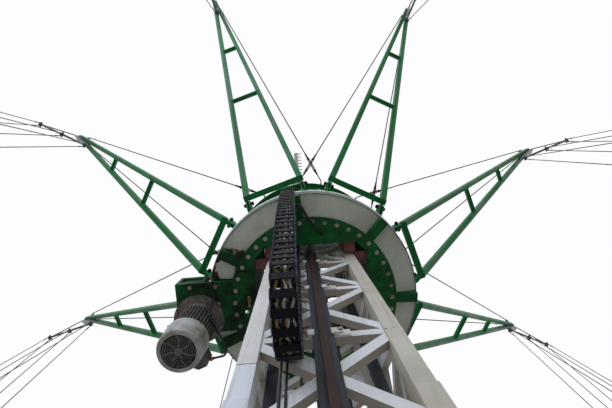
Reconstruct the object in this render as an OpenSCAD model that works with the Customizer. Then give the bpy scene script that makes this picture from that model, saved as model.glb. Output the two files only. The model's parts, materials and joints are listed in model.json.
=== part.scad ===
// Tower swing ride: a lattice mast, a lifting carriage round it and a turning head with eight arms.
// Millimetres, +Z up. The origin is on the ground, at the middle of the mast's base flange.

/* [Mast] */
// Outer width of the square mast
mast_w = 820; // [780:5:840]
// Width of a leg's square tube
leg_w = 95; // [80:5:105]
// Wall of a leg's tube
leg_wall = 8; // [5:1:12]
// How far the splice sleeves stand out from a leg
splice_t = 5; // [3:1:6]
// Height of a splice sleeve
splice_h = 440; // [300:10:600]
// Bracing bays in one side
bay_count = 33; // [30:1:34]
// Height of one bracing bay
bay_h = 700; // [660:5:720]
// Height of the lowest horizontal strut
brace_z = 575; // [540:5:620]
// Upright width of a horizontal strut
strut_w = 56; // [40:2:70]
// Width of a diagonal strut
diagonal_w = 62; // [40:2:70]
// Depth of every bracing strut
brace_d = 44; // [30:2:50]
// Land of weld between a strut and a diagonal, at the leg
weld_w = 8; // [4:1:14]
// How far the bracing lies behind the legs' outer faces
brace_inset = 12; // [10:1:20]

/* [Base] */
// Side of the square base flange
flange_w = 1500; // [1460:10:1600]
// Thickness of the base flange
flange_t = 40; // [30:2:60]
// Height of the gussets on the base flange
gusset_h = 420; // [300:10:480]
// Thickness of a gusset
gusset_t = 20; // [12:1:30]
// Radius of an anchor bolt hole
anchor_r = 16; // [12:1:20]
// Distance of the outer bolt rows from the middle
anchor_far = 670; // [640:5:690]
// Distance of the inner bolts from the middle
anchor_near = 270; // [260:5:300]

/* [Rails] */
// Width of a guide rail
rail_w = 110; // [90:5:120]
// Depth of a guide rail
rail_d = 62; // [50:2:70]
// Thickness of a guide rail's base
rail_t = 16; // [12:1:20]
// Width of a guide rail's head
rail_head_w = 38; // [30:1:44]
// Reach of a rail clip beside the rail
clip_reach = 88; // [60:2:90]
// Height of a rail clip
clip_h = 60; // [40:2:70]
// Thickness of a rail clip
clip_t = 12; // [8:1:14]
// How far a rail clip laps over the rail's base
clip_lap = 12; // [8:1:16]
// Width of a counterweight rail's head
weight_rail_w = 44; // [30:2:60]
// Depth of a counterweight rail
weight_rail_d = 62; // [40:2:80]
// Diameter of a mast cable
mast_cable_d = 12; // [10:1:12]
// Length of the mast cables
mast_cable_h = 11000; // [9000:100:12000]
// Distance of the two mast cables to the left
mast_cable_x = [204, 178];

/* [Head of the mast] */
// Height of the head frame's beams
head_h = 160; // [120:10:200]
// Width of the head frame's beams
head_w = 90; // [70:5:110]
// Pitch radius of a rope sheave
sheave_r = 150; // [130:5:170]
// Radius of a hoist rope
rope_r = 9; // [6:1:12]
// Distance of the rope loops from the mast's middle, to the left and right
rope_x = 150; // [130:5:200]
// Distance of the rope loops behind the mast
rope_gap = 75; // [70:1:85]
// Gap between a sheave's middle and its cheek plates
cheek_gap = 32; // [28:1:40]
// Reach of the service jib in front of the mast
jib_reach = 1750; // [1400:50:1900]
// Length of the service jib behind the mast's front face
jib_tail = 400; // [300:10:600]
// Left edge of the service jib
jib_x = -152; // [-180:2:-120]
// Width of the service jib
jib_w = 220; // [160:10:260]
// Height of the service jib
jib_h = 90; // [70:5:120]
// Length of the jib's steps, on its right side
step_l = 205; // [150:5:240]
// Pitch of the jib's steps
step_pitch = 190; // [160:5:240]

/* [Carriage] */
// Height of the slew plate's underside
plate_z = 4934; // [4800:10:5200]
// Thickness of the slew plate
plate_t = 22; // [16:1:30]
// Outer radius of the slew plate
plate_r = 797; // [785:1:805]
// Distance of the seam between the slew plate and the drive's base plate
plate_seam = 778; // [770:1:782]
// Radius of the access hole in the slew plate
access_r = 21; // [14:1:26]
// Place of the access hole
access_at = [-644, 69];
// Half the width of the opening round the mast
well_half = 537; // [530:1:545]
// Chamfer of the opening's corners
well_cut = 105; // [90:5:110]
// Height of the carriage sleeve
sleeve_h = 1740; // [1600:10:1780]
// Wall of the carriage sleeve
sleeve_t = 18; // [12:1:24]
// Height of the closed lower part of the sleeve
sleeve_closed = 760; // [600:10:900]
// Width of a sleeve window
window_w = 740; // [600:10:780]
// Height of a sleeve window
window_h = 700; // [500:10:760]
// Width of a guide shoe
shoe_w = 106; // [90:2:106]
// Height of a guide shoe
shoe_h = 240; // [160:10:300]
// Running clearance between the guide shoes and the mast
shoe_gap = 7; // [5:1:9]
// How far the ring of covers stands out past the turning head's floor
rim_out = 18; // [10:1:25]
// Height of the rim above the slew plate's underside
rim_rise = 102; // [90:2:110]
// Height of the covers' inner edge above the slew plate's underside
cover_rise = 44; // [36:2:50]
// Thickness of the cover panels
cover_t = 4; // [3:1:6]
// Width of a spoke between two covers
spoke_w = 95; // [80:5:110]
// Height of the rim band
rim_h = 15; // [10:1:18]
// Directions of the spokes, as the photograph shows them
spoke_angles = [-149, -96, -44, 4, 56, 108, 157];

/* [Slewing drive] */
// Gap between the rim and the drive housing
housing_gap = 10; // [6:1:14]
// Length of the drive housing, outside the rim
housing_l = 275; // [250:5:300]
// Wall left between the drive housing's pockets and its ends
pocket_wall = 40; // [24:2:50]
// Depth of the drive housing's pockets
pocket_d = 24; // [12:2:30]
// Front edge of the drive's base plate
housing_front = -258; // [-270:2:-250]
// Back edge of the drive's base plate
housing_back = 240; // [230:2:260]
// Height of the drive housing above the slew plate's underside
housing_h = 218; // [180:2:230]
// Distance of the motor's axis outside the rim
motor_out = 74; // [60:1:90]
// Distance of the motor's axis to the back
motor_y = 51; // [40:1:60]
// Radius of the motor's fan cowl
cowl_r = 197; // [180:1:200]
// Length of the fan cowl
cowl_h = 205; // [180:5:230]
// Whole length of the motor
motor_h = 713; // [680:5:740]
// Radius of the motor's flange
motor_flange_r = 205; // [190:1:215]
// Radius of the motor's body under its fins
motor_core_r = 150; // [130:2:160]
// Number of cooling fins
fin_count = 36; // [24:1:44]
// Direction of the terminal box from the motor's axis, in degrees
box_turn = 60; // [40:1:70]
// Width of the terminal box
terminal_w = 150; // [120:5:170]
// Height of the terminal box
terminal_h = 170; // [140:5:200]
// Reach of the terminal box outside the motor's fins
terminal_d = 100; // [70:5:120]

/* [Energy chain] */
// Width of the energy chain
chain_w = 120; // [100:5:126]
// Height of a chain link
chain_h = 58; // [50:2:60]
// Pitch of the chain links
chain_pitch = 68; // [56:2:80]
// Thickness of a link's side plates
chain_side_t = 12; // [8:1:16]
// Middle of the chain, to the left
chain_x = -160; // [-165:1:-155]
// Bend radius of the chain, at the middle of its links
chain_bend_r = 200; // [190:2:210]
// Height of the bend's middle below the slew plate's underside
chain_drop = 1732; // [1600:10:1800]
// Distance of the hanging end from the mast's middle
chain_out = 1050; // [1045:1:1060]
// Height of the fixed end above the slew plate's underside
chain_rise = 3460; // [3000:20:3500]
// Length of the curve's handle at the hanging end
chain_handle_out = 1200; // [900:50:1400]
// Length of the curve's handle at the bend
chain_handle_bend = 250; // [150:10:400]

/* [Turning head] */
// Turn of the arms from the mast's corners, in degrees
head_turn = 5.95; // [0:0.05:22]
// Radius of the floor ring
floor_r = 1000; // [990:1:1005]
// Height of the floor ring's edge beam
floor_h = 145; // [120:5:145]
// Thickness of the floor ring's plate
floor_t = 20; // [14:1:24]
// Width of the floor ring's edge beam
edge_w = 110; // [90:5:130]
// Wall of the edge beam
edge_t = 8; // [6:1:12]
// How far the top ring stands out past the floor ring
top_ring_out = 43; // [35:1:50]
// Width of the top ring
top_ring_w = 104; // [90:2:120]
// Height of the top ring's underside above the slew plate's underside
top_ring_rise = 1617; // [1550:5:1640]
// Height of the top ring
top_ring_h = 102; // [80:2:120]
// Width of a column of the hub
column_w = 270; // [200:10:300]
// Thickness of a column of the hub
column_t = 60; // [40:5:70]
// Distance of the columns behind the floor ring's edge
column_in = 20; // [14:1:30]
// Frame left round the openings of a column
column_frame = 40; // [30:5:60]
// Gap between the carriage and the turning head
slew_gap = 6; // [5:1:8]
// Play between the two halves of the slewing ring
slew_play = 0.5; // [0.3:0.1:0.8]

/* [Arms] */
// Number of arms
arm_count = 8; // [8:1:8]
// Distance of an arm's root beam outside the floor ring
arm_root_out = 123; // [118:1:130]
// Half the distance between an arm's two roots
arm_half = 292; // [270:2:300]
// Height of the arm's roots above the slew plate's underside
arm_root_rise = 353; // [340:1:380]
// Distance of an arm's tip from the mast's middle
arm_tip_r = 4423; // [4300:10:4500]
// Height of an arm's tip above the slew plate's underside
arm_tip_rise = 3325; // [3200:5:3340]
// Width of the arm's chords
chord_w = 58; // [50:2:70]
// Width of the crossbars
crossbar_w = 46; // [36:2:56]
// Where the inner crossbar lies along the arm
crossbar_in = 0.36; // [0.3:0.01:0.42]
// Where the outer crossbar lies along the arm
crossbar_out = 0.63; // [0.56:0.01:0.7]
// Thickness of the lugs and tongues
lug_t = 14; // [10:1:18]
// Radius of a root pin
pin_r = 15; // [12:1:18]
// Length of the slot in an arm's tip
slot_l = 360; // [300:10:400]

/* [Stays] */
// Radius of a stay
stay_r = 8; // [6:1:10]
// Angle between the stay anchors and the middle between two arms
stay_angle = 8; // [6:0.5:10]
// Height of the stay anchors above the slew plate's underside
stay_rise = 1683; // [1670:1:1700]
// How far crossing stays are set above and below each other
stay_step = 22; // [18:1:30]
// Reach of a stay's lug outside the top ring
stay_lug = 34; // [28:1:40]

/* [Hanging seats] */
// Distances of the three hooks from the mast's middle
hook_r = [3985, 4420, 4838];
// Height of the spreader bar at the arm's tip, below the tip
spreader_drop = 500; // [450:5:540]
// Slope of the spreader bar, rising outwards, in degrees
spreader_slope = 9; // [0:0.5:12]
// Radius of the spreader bar
spreader_bar_r = 17; // [12:1:22]
// Radius of a hanging rope
hang_rope_r = 6; // [4:1:8]
// Height of the ropes' lower ends above the ground
rope_end_z = 4100; // [4060:10:4200]
// Distance between the front and back ropes at a seat
seat_rope_gap = 540; // [480:10:580]
// Depth of a seat
seat_d = 430; // [380:10:470]
// Thickness of a seat's shell
seat_t = 24; // [18:1:30]
// Height of a seat's pan below its side rails
seat_drop = 430; // [380:10:480]
// Height of a seat's back
seat_back_h = 620; // [540:10:700]

/* [Hidden] */

$fn = 48;
seat_gap = 0.3;
half = mast_w / 2;
panel_w = mast_w - 2 * leg_w;
leg_mid = half - leg_w / 2;
mast_top = brace_z + bay_count * bay_h + strut_w / 2;
brace_face = half - brace_inset;
leg_h = mast_top - flange_t;
splice_every = 6 * bay_h;
splice_first = brace_z + 3 * bay_h - splice_h / 2;
arm_step = 360 / arm_count;
plate_top = plate_z + plate_t;
rim_z = plate_z + rim_rise;
rotor_z = rim_z + rim_h + slew_gap;
sleeve_cut = well_cut + 0.586 * sleeve_t;
sleeve_corner_r = norm([well_half + sleeve_t, well_half + sleeve_t - sleeve_cut]);
bearing_in = sleeve_corner_r + slew_gap;
bearing_out = plate_r - 7;
bearing_top = rotor_z - slew_play;
rim_r = floor_r + rim_out;
housing_in = rim_r + housing_gap;
housing_out = housing_in + housing_l;
motor_x = -rim_r - motor_out;
top_ring_r = floor_r + top_ring_out;
arm_root_r = floor_r + arm_root_out;
floor_z = rotor_z + 24;
edge_top_z = floor_z + floor_t + floor_h;
lug_out_r = arm_root_r - chord_w / 2 - 4;
bracket_h = 30;
chain_top_z = plate_z - bracket_h - 2 * seat_gap;
chain_mid_z = plate_z - chain_drop;
chain_far_y = -(half + 41);
chain_near_y = chain_far_y - 2 * chain_bend_r;
chain_end_z = plate_z + chain_rise;
spreader_z = plate_z + arm_tip_rise - spreader_drop;
rope_y = half + rope_gap;
sheave_top_z = mast_top + head_h + 175;
sheave_foot_z = 330;
shoe_mid = well_half - shoe_w / 2;
shoe_side = well_half - well_cut - shoe_w / 2 - seat_gap;

// Square bar from point a to point b, w wide across and h high in its upright plane.
module bar(a, b, w, h) {
    v = b - a;
    len = norm(v);
    translate(a)
        rotate([0, -asin(v[2] / len), atan2(v[1], v[0])])
            translate([0, -w / 2, -h / 2])
                cube([len, w, h]);
}

// Round rod from point a to point b.
module rod(a, b, r, sides = 24) {
    v = b - a;
    len = norm(v);
    translate(a)
        rotate([0, acos(v[2] / len), atan2(v[1], v[0])])
            cylinder(r = r, h = len, $fn = sides);
}

// Tube with its lower face at z = 0.
module ring(r_out, r_in, h) {
    rotate_extrude($fn = 96)
        translate([r_in, 0])
            square([r_out - r_in, h]);
}

// Square of half width s with its corners cut off.
module cut_square(s, cut) {
    polygon([
        [s, -s + cut], [s, s - cut], [s - cut, s], [-s + cut, s],
        [-s, s - cut], [-s, -s + cut], [-s + cut, -s], [s - cut, -s],
    ]);
}

// Copies its children to every arm's direction.
module at_arm(i) {
    rotate([0, 0, head_turn + arm_step * (i - 0.5)])
        children();
}

// Copies its children to the direction between two arms.
module at_gap(i) {
    rotate([0, 0, head_turn + arm_step * i])
        children();
}

// Base flange: a square plate with anchor holes, and gussets against every leg.
module base_flange() {
    color("gainsboro") {
        difference() {
            translate([-flange_w / 2, -flange_w / 2, 0])
                cube([flange_w, flange_w, flange_t]);
            for (x = [-anchor_far, anchor_far], y = [-anchor_far, -anchor_near, anchor_near, anchor_far])
                translate([x, y, -1])
                    cylinder(r = anchor_r, h = flange_t + 2);
            for (x = [-anchor_near, anchor_near], y = [-anchor_far, anchor_far])
                translate([x, y, -1])
                    cylinder(r = anchor_r, h = flange_t + 2);
        }
        for (sx = [-1, 1], sy = [-1, 1]) {
            gusset([sx * half, sy * leg_mid, flange_t], sx > 0 ? 0 : 180);
            gusset([sx * leg_mid, sy * half, flange_t], sy > 0 ? 90 : 270);
        }
    }
}

// Three-cornered gusset that stands on the flange and leans on a leg.
module gusset(at, turn) {
    foot = flange_w / 2 - half - 30;
    translate(at)
        rotate([0, 0, turn])
            rotate([90, 0, 0])
                translate([0, 0, -gusset_t / 2])
                    linear_extrude(gusset_t)
                        polygon([[0, 0], [foot, 0], [foot, 40], [40, gusset_h], [0, gusset_h]]);
}

// Leg: a square tube with splice sleeves where the mast's sections meet.
module leg(sx, sy) {
    color("whitesmoke")
        translate([sx * leg_mid, sy * leg_mid, flange_t])
            difference() {
                union() {
                    translate([-leg_w / 2, -leg_w / 2, 0])
                        cube([leg_w, leg_w, leg_h]);
                    for (z = [splice_first : splice_every : leg_h - splice_h])
                        translate([0, 0, z - flange_t])
                            splice(sx, sy);
                }
                translate([-leg_w / 2 + leg_wall, -leg_w / 2 + leg_wall, -1])
                    cube([leg_w - 2 * leg_wall, leg_w - 2 * leg_wall, leg_h + 2]);
            }
}

// Splice plates on a leg's two outer faces.
module splice(sx, sy) {
    translate([min(-sx * leg_w / 2, sx * (leg_w / 2 + splice_t)), min(-sy * leg_w / 2, sy * (leg_w / 2 + splice_t)), 0])
        cube([leg_w + splice_t, leg_w + splice_t, splice_h]);
}

// Outline of one side's bracing: a panel with four windows in every bay, round two crossing diagonals.
module bracing_outline() {
    corner = panel_w / 2 - weld_w;
    clear = bay_h - strut_w;
    slope = atan2(clear, 2 * corner) - asin(diagonal_w / norm([2 * corner, clear]));
    rise = diagonal_w / 2 / cos(slope);
    side = panel_w / 2 + 1;
    side_rise = rise - side * tan(slope);
    difference() {
        translate([-panel_w / 2, flange_t])
            square([panel_w, mast_top - flange_t]);
        translate([-panel_w / 2 - 1, flange_t - 1])
            square([panel_w + 2, brace_z - strut_w / 2 - flange_t + 1]);
        for (k = [0 : bay_count - 1], s = [-1, 1])
            translate([0, brace_z + (k + 0.5) * bay_h]) {
                polygon([[-corner, s * clear / 2], [corner, s * clear / 2], [0, s * rise]]);
                polygon([[s * side, side_rise], [s * side, -side_rise], [s * rise / tan(slope), 0]]);
            }
    }
}

// One side's bracing, its outer face turned to the given direction.
module brace(turn) {
    color("white")
        rotate([0, 0, turn])
            translate([0, -brace_face + brace_d, 0])
                rotate([90, 0, 0])
                    linear_extrude(brace_d)
                        bracing_outline();
}

// Guide rail: a flat base on the bracing with a narrow head standing out from it.
module rail(turn) {
    color("dimgray")
        rotate([0, 0, turn])
            translate([0, -brace_face, flange_t])
                linear_extrude(leg_h)
                    polygon([
                        [-rail_w / 2, 0], [-rail_w / 2, -rail_t], [-rail_head_w / 2, -rail_t],
                        [-rail_head_w / 2, -rail_d], [rail_head_w / 2, -rail_d], [rail_head_w / 2, -rail_t],
                        [rail_w / 2, -rail_t], [rail_w / 2, 0],
                    ]);
}

// Clips that hold the guide rails' bases to every horizontal strut.
module rail_clamps() {
    block = rail_w / 2 + 2 * clip_lap;
    color("whitesmoke")
        for (turn = [0, 180], k = [0 : bay_count], s = [0, 1])
            rotate([0, 0, turn])
                mirror([s, 0, 0])
                    translate([0, -brace_face, brace_z + k * bay_h - clip_h / 2])
                        linear_extrude(min(clip_h, mast_top - brace_z - k * bay_h + clip_h / 2))
                            polygon([
                                [rail_w / 2, 0], [rail_w / 2 + clip_reach, 0], [rail_w / 2 + clip_reach, -clip_t],
                                [block, -clip_t], [block, -rail_t - clip_t],
                                [rail_w / 2 - clip_lap, -rail_t - clip_t], [rail_w / 2 - clip_lap, -rail_t],
                                [rail_w / 2, -rail_t],
                            ]);
}

// Counterweight rails: T-shaped bars inside the left and right bracing.
module counterweight_rails() {
    color("dimgray")
        for (turn = [90, 270])
            rotate([0, 0, turn])
                translate([0, -brace_face + brace_d, flange_t])
                    linear_extrude(leg_h) {
                        translate([-5, 0])
                            square([10, weight_rail_d]);
                        translate([-weight_rail_w / 2, weight_rail_d])
                            square([weight_rail_w, 10]);
                    }
}

// Cables that run up the front bracing to the middle of the mast.
module mast_cables() {
    color("black")
        for (x = mast_cable_x)
            translate([-x, -brace_face - mast_cable_d / 2, flange_t])
                cylinder(r = mast_cable_d / 2, h = mast_cable_h, $fn = 24);
}

// Head frame: four beams on the legs, two cross beams and the sheaves' cheek plates.
module head_frame() {
    color("whitesmoke")
        translate([0, 0, mast_top]) {
            difference() {
                translate([-half, -half, 0])
                    cube([mast_w, mast_w, head_h]);
                translate([-half + head_w, -half + head_w, -1])
                    cube([mast_w - 2 * head_w, mast_w - 2 * head_w, head_h + 2]);
            }
            for (s = [-1, 1], e = [-1, 1])
                translate([s * rope_x + e * 42 - 12, -half + head_w - 1, 0])
                    cube([24, mast_w - 2 * head_w + 2, head_h]);
            for (s = [-1, 1], e = [-1, 1])
                translate([s * rope_x + e * (cheek_gap + 6) - 6, 0, head_h])
                    sheave_cheek();
        }
}

// Cheek plate that carries a head sheave's shaft.
module sheave_cheek() {
    rotate([90, 0, 90])
        linear_extrude(12)
            polygon([
                [half - 300, 0], [half, 0], [rope_y - sheave_r + 60, 130],
                [rope_y - sheave_r + 50, 225], [rope_y - sheave_r - 50, 225], [half - 300, 60],
            ]);
}

// Grooved sheave with its hub, turned about X.
module sheave(hub) {
    rotate([0, 90, 0])
        rotate_extrude($fn = 64)
            polygon([
                [0, -hub], [48, -hub], [48, -10], [sheave_r - 26, -10], [sheave_r + 8, -16],
                [sheave_r - 2 * rope_r, 0], [sheave_r + 8, 16], [sheave_r - 26, 10], [48, 10], [48, hub], [0, hub],
            ]);
}

// Sheaves at the head of the mast.
module head_sheaves() {
    color("silver")
        for (s = [-1, 1])
            translate([s * rope_x, rope_y - sheave_r, sheave_top_z])
                sheave(cheek_gap - seat_gap);
}

// Sheaves at the foot of the mast, on brackets that stand on the flange.
module foot_sheaves() {
    color("silver")
        for (s = [-1, 1])
            translate([s * rope_x, rope_y - sheave_r, sheave_foot_z])
                sheave(cheek_gap - seat_gap);
    color("gray")
        for (s = [-1, 1], e = [-1, 1])
            translate([s * rope_x + e * (cheek_gap + 6) - 6, rope_y - sheave_r - 50, flange_t])
                cube([12, 100, sheave_foot_z - flange_t + 50]);
}

// Hoist ropes: two closed loops of rope that run outside the back of the mast.
module hoist_ropes() {
    color("dimgray")
        for (s = [-1, 1])
            translate([s * rope_x, rope_y - sheave_r, 0]) {
                for (e = [-1, 1])
                    translate([0, e * sheave_r, sheave_foot_z])
                        cylinder(r = rope_r, h = sheave_top_z - sheave_foot_z, $fn = 16);
                translate([0, 0, sheave_top_z])
                    rotate([90, 0, 90])
                        rotate_extrude(angle = 180, $fn = 48)
                            translate([sheave_r, 0])
                                circle(r = rope_r, $fn = 16);
                translate([0, 0, sheave_foot_z])
                    rotate([-90, 0, -90])
                        rotate_extrude(angle = 180, $fn = 48)
                            translate([sheave_r, 0])
                                circle(r = rope_r, $fn = 16);
            }
}

// Service jib: a beam with steps on one side that reaches out in front of the mast's head.
module service_jib() {
    length = jib_reach + jib_tail;
    color("lightgray")
        translate([jib_x, -half - jib_reach, mast_top + head_h]) {
            cube([jib_w, length, jib_h]);
            for (y = [step_pitch / 4 : step_pitch : jib_reach - step_pitch])
                translate([jib_w - 1, y, jib_h / 4])
                    cube([step_l + 1, step_pitch / 3, jib_h / 2]);
        }
}

// Outline of the slew plate: round, with a straight edge where the drive's base plate joins it.
module plate_outline() {
    difference() {
        circle(r = plate_r, $fn = 128);
        translate([-2 * plate_r, -plate_r])
            square([2 * plate_r - plate_seam, 2 * plate_r]);
    }
}

// Slew plate: the round green plate under the carriage, open in the middle for the mast.
module slew_plate() {
    color("darkgreen")
        translate([0, 0, plate_z])
            linear_extrude(plate_t)
                difference() {
                    plate_outline();
                    cut_square(well_half, well_cut);
                    translate(access_at)
                        circle(r = access_r, $fn = 32);
                }
}

// Spokes: radial bars that carry the covers and reach out to the rim.
module cover_spokes() {
    color("darkgreen")
        for (a = spoke_angles)
            rotate([0, 0, a])
                difference() {
                    translate([plate_r - 40, -spoke_w / 2, plate_top])
                        cube([rim_r - plate_r + 80, spoke_w, rim_z - plate_top]);
                    translate([0, 0, plate_top - 1])
                        cylinder(r = plate_r - 5, h = rim_rise, $fn = 96);
                    translate([0, 0, plate_top - 1])
                        ring(rim_r + 100, rim_r - 8, rim_rise);
                }
}

// Cover panels: a thin cone from the plate up to the rim, cut at the spokes and at the drive.
module cover_panels() {
    inner = plate_r + 3;
    outer = rim_r - 8;
    color("beige")
        difference() {
            rotate_extrude($fn = 144)
                polygon([
                    [inner, plate_z + cover_rise], [outer, rim_z - cover_t],
                    [outer, rim_z], [inner, plate_z + cover_rise + cover_t],
                ]);
            for (a = spoke_angles)
                rotate([0, 0, a])
                    translate([plate_r - 40, -spoke_w / 2 - seat_gap, plate_z])
                        cube([rim_r, spoke_w + 2 * seat_gap, rim_rise + 20]);
            translate([-2 * rim_r, housing_front, plate_z])
                cube([2 * rim_r, housing_back - housing_front, rim_rise + 20]);
        }
}

// Bright band round the outer edge of the covers and spokes.
module rim_band() {
    edge = asin(-housing_front / rim_r) + 1;
    color("silver")
        rotate([0, 0, -180 + edge])
            rotate_extrude(angle = 360 - 2 * edge, $fn = 144)
                translate([rim_r - 8 + seat_gap, rim_z - 12])
                    square([8 - seat_gap, rim_h + 12]);
}

// Carriage sleeve: an eight-sided tube round the mast, with a window in the upper half of four sides.
module carriage_sleeve() {
    reach = 2 * well_half + 4 * sleeve_t;
    color("darkgreen")
        translate([0, 0, plate_top])
            difference() {
                linear_extrude(sleeve_h)
                    difference() {
                        cut_square(well_half + sleeve_t, sleeve_cut);
                        cut_square(well_half, well_cut);
                    }
                translate([-reach / 2, -window_w / 2, sleeve_closed])
                    cube([reach, window_w, window_h]);
                translate([-window_w / 2, -reach / 2, sleeve_closed])
                    cube([window_w, reach, window_h]);
            }
}

// Guide shoes: pink pads at the sleeve's corners, lined towards the mast.
module guide_shoes() {
    color("rosybrown")
        for (z = [plate_top + 20, plate_top + sleeve_h - shoe_h - 20], turn = [0 : 90 : 270], s = [-1, 1])
            rotate([0, 0, turn])
                translate([s * shoe_side - shoe_w / 2, -well_half, z])
                    difference() {
                        cube([shoe_w, well_half - half - splice_t - shoe_gap, shoe_h]);
                        for (e = [-1, shoe_w - 13])
                            translate([e, shoe_w, -1])
                                cube([14, well_half, shoe_h + 2]);
                    }
}

// Fixed half of the slewing ring, on the slew plate.
module slew_ring_fixed() {
    color("gray")
        translate([0, 0, plate_top])
            ring(bearing_out, bearing_in, bearing_top - plate_top);
}

// Drive housing: a base plate beside the slew plate with a closed box outside the rim.
module drive_housing() {
    length = housing_back - housing_front;
    color("darkgreen") {
        translate([0, 0, plate_z])
            linear_extrude(plate_t)
                difference() {
                    translate([-housing_out, housing_front])
                        square([housing_out - well_half - sleeve_t, length]);
                    plate_outline();
                    cut_square(well_half + sleeve_t, sleeve_cut);
                }
        difference() {
            translate([-housing_out, housing_front, plate_top - 1])
                cube([housing_l, length, housing_h - plate_t + 1]);
            for (y = [housing_front - 1, housing_back - pocket_d])
                translate([-housing_out + pocket_wall, y, plate_top + pocket_wall])
                    cube([housing_l - 2 * pocket_wall, pocket_d + 1, housing_h - plate_t - 2 * pocket_wall]);
        }
    }
}

// Motor body: a finned drum that hangs from the drive's plate by its flange.
module motor_body() {
    cowl_top = plate_z - motor_h + cowl_h;
    color("lightgray")
        translate([motor_x, motor_y, 0]) {
            translate([0, 0, plate_z - 26])
                cylinder(r = motor_flange_r, h = 26, $fn = 64);
            translate([0, 0, plate_z - 90])
                cylinder(r = motor_core_r + 22, h = 66, $fn = 64);
            translate([0, 0, cowl_top - 30])
                cylinder(r = motor_core_r, h = plate_z - 60 - cowl_top, $fn = 64);
            for (i = [0 : fin_count - 1])
                rotate([0, 0, 360 / fin_count * i])
                    translate([motor_core_r - 4, -3, cowl_top + 6])
                        cube([30, 6, plate_z - 100 - cowl_top]);
            for (i = [0 : 3])
                rotate([0, 0, 90 * i + 45])
                    translate([motor_core_r - 4, -12, cowl_top - 26])
                        cube([cowl_r - motor_core_r - seat_gap, 24, 22]);
        }
}

// Fan cowl: a shell with a grille of rings and curved spokes in its floor.
module motor_cowl() {
    z = plate_z - motor_h;
    grille_r = cowl_r * 0.7;
    color("darkgray")
        translate([motor_x, motor_y, z]) {
            difference() {
                rotate_extrude($fn = 64)
                    polygon([
                        [grille_r, 0], [cowl_r - 22, 0], [cowl_r - 6, 8], [cowl_r, 26],
                        [cowl_r, cowl_h], [cowl_r - 4, cowl_h], [cowl_r - 4, 28],
                        [cowl_r - 22, 5], [grille_r, 5],
                    ]);
            }
            linear_extrude(5)
                difference() {
                    union() {
                        circle(r = cowl_r * 0.17);
                        for (i = [1 : 6])
                            difference() {
                                circle(r = cowl_r * (0.17 + i * 0.076) + 3);
                                circle(r = cowl_r * (0.17 + i * 0.076) - 3);
                            }
                        for (i = [0 : 6])
                            rotate([0, 0, 360 / 7 * i])
                                grille_spoke(cowl_r * 0.34);
                    }
                    difference() {
                        circle(r = cowl_r * 2);
                        circle(r = grille_r + 2);
                    }
                }
        }
}

// Curved spoke of the fan grille.
module grille_spoke(r) {
    intersection() {
        translate([r, 0])
            difference() {
                circle(r = r + 5);
                circle(r = r - 5);
            }
        translate([0, 0])
            square([2.2 * r, 2 * r]);
    }
}

// Terminal box on the side of the motor.
module motor_box() {
    fins_r = motor_core_r + 26 + seat_gap;
    color("gray")
        translate([motor_x, motor_y, plate_z - motor_h + cowl_h + 20])
            rotate([0, 0, box_turn])
                difference() {
                    translate([motor_core_r, -terminal_w / 2, 0])
                        cube([fins_r - motor_core_r + terminal_d, terminal_w, terminal_h]);
                    cylinder(r = fins_r, h = 3 * terminal_h, center = true, $fn = 64);
                    translate([fins_r + terminal_d - 10, -terminal_w, terminal_h - 8])
                        cube([20, 2 * terminal_w, 20]);
                }
}

// Bracket under the slew plate that carries the hanging end of the energy chain.
module chain_bracket() {
    color("darkgreen")
        translate([chain_x - chain_w / 2, -chain_out - 40, plate_z - bracket_h])
            cube([chain_w, chain_out + 40 - (well_half + 30), bracket_h]);
}

// Middle line of the energy chain in the upright plane: a curve, a half turn and a straight run.
function bezier(p, t) =
    pow(1 - t, 3) * p[0] + 3 * t * pow(1 - t, 2) * p[1] + 3 * t * t * (1 - t) * p[2] + pow(t, 3) * p[3];
chain_curve = [
    [-chain_out, chain_top_z], [-chain_out, chain_top_z - chain_handle_out],
    [chain_near_y, chain_mid_z + chain_handle_bend], [chain_near_y, chain_mid_z],
];
chain_line = concat(
    [for (i = [0 : 19]) bezier(chain_curve, i / 20)],
    [for (a = [180 : 10 : 360]) [
        chain_far_y - chain_bend_r + chain_bend_r * cos(a), chain_mid_z + chain_bend_r * sin(a)]],
    [[chain_far_y, chain_end_z]]
);
chain_last = len(chain_line) - 1;
function chain_dir(i) =
    let (v = chain_line[min(i + 1, chain_last)] - chain_line[max(i - 1, 0)]) v / norm(v);
function chain_side(i, d) = chain_line[i] + d * [-chain_dir(i)[1], chain_dir(i)[0]];
chain_steps = [for (i = [0 : chain_last - 1]) norm(chain_line[i + 1] - chain_line[i])];
function chain_run(i) = i <= 0 ? 0 : chain_run(i - 1) + chain_steps[i - 1];
chain_runs = [for (i = [0 : chain_last]) chain_run(i)];

// Side plates and crossbars of the energy chain, one fixed loop.
module energy_chain() {
    half_h = chain_h / 2;
    outline = concat(
        [for (i = [0 : chain_last]) chain_side(i, half_h)],
        [for (i = [chain_last : -1 : 0]) chain_side(i, -half_h)]
    );
    color("black") {
        for (s = [-1, 1])
            translate([chain_x + s * (chain_w - chain_side_t) / 2 - chain_side_t / 2, 0, 0])
                rotate([0, 0, 90])
                    rotate([90, 0, 0])
                        mirror([0, 0, 1])
                            translate([0, 0, -chain_side_t])
                                linear_extrude(chain_side_t)
                                    polygon(outline);
        for (i = [0 : chain_last - 1])
            chain_bars(i);
    }
}

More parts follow.
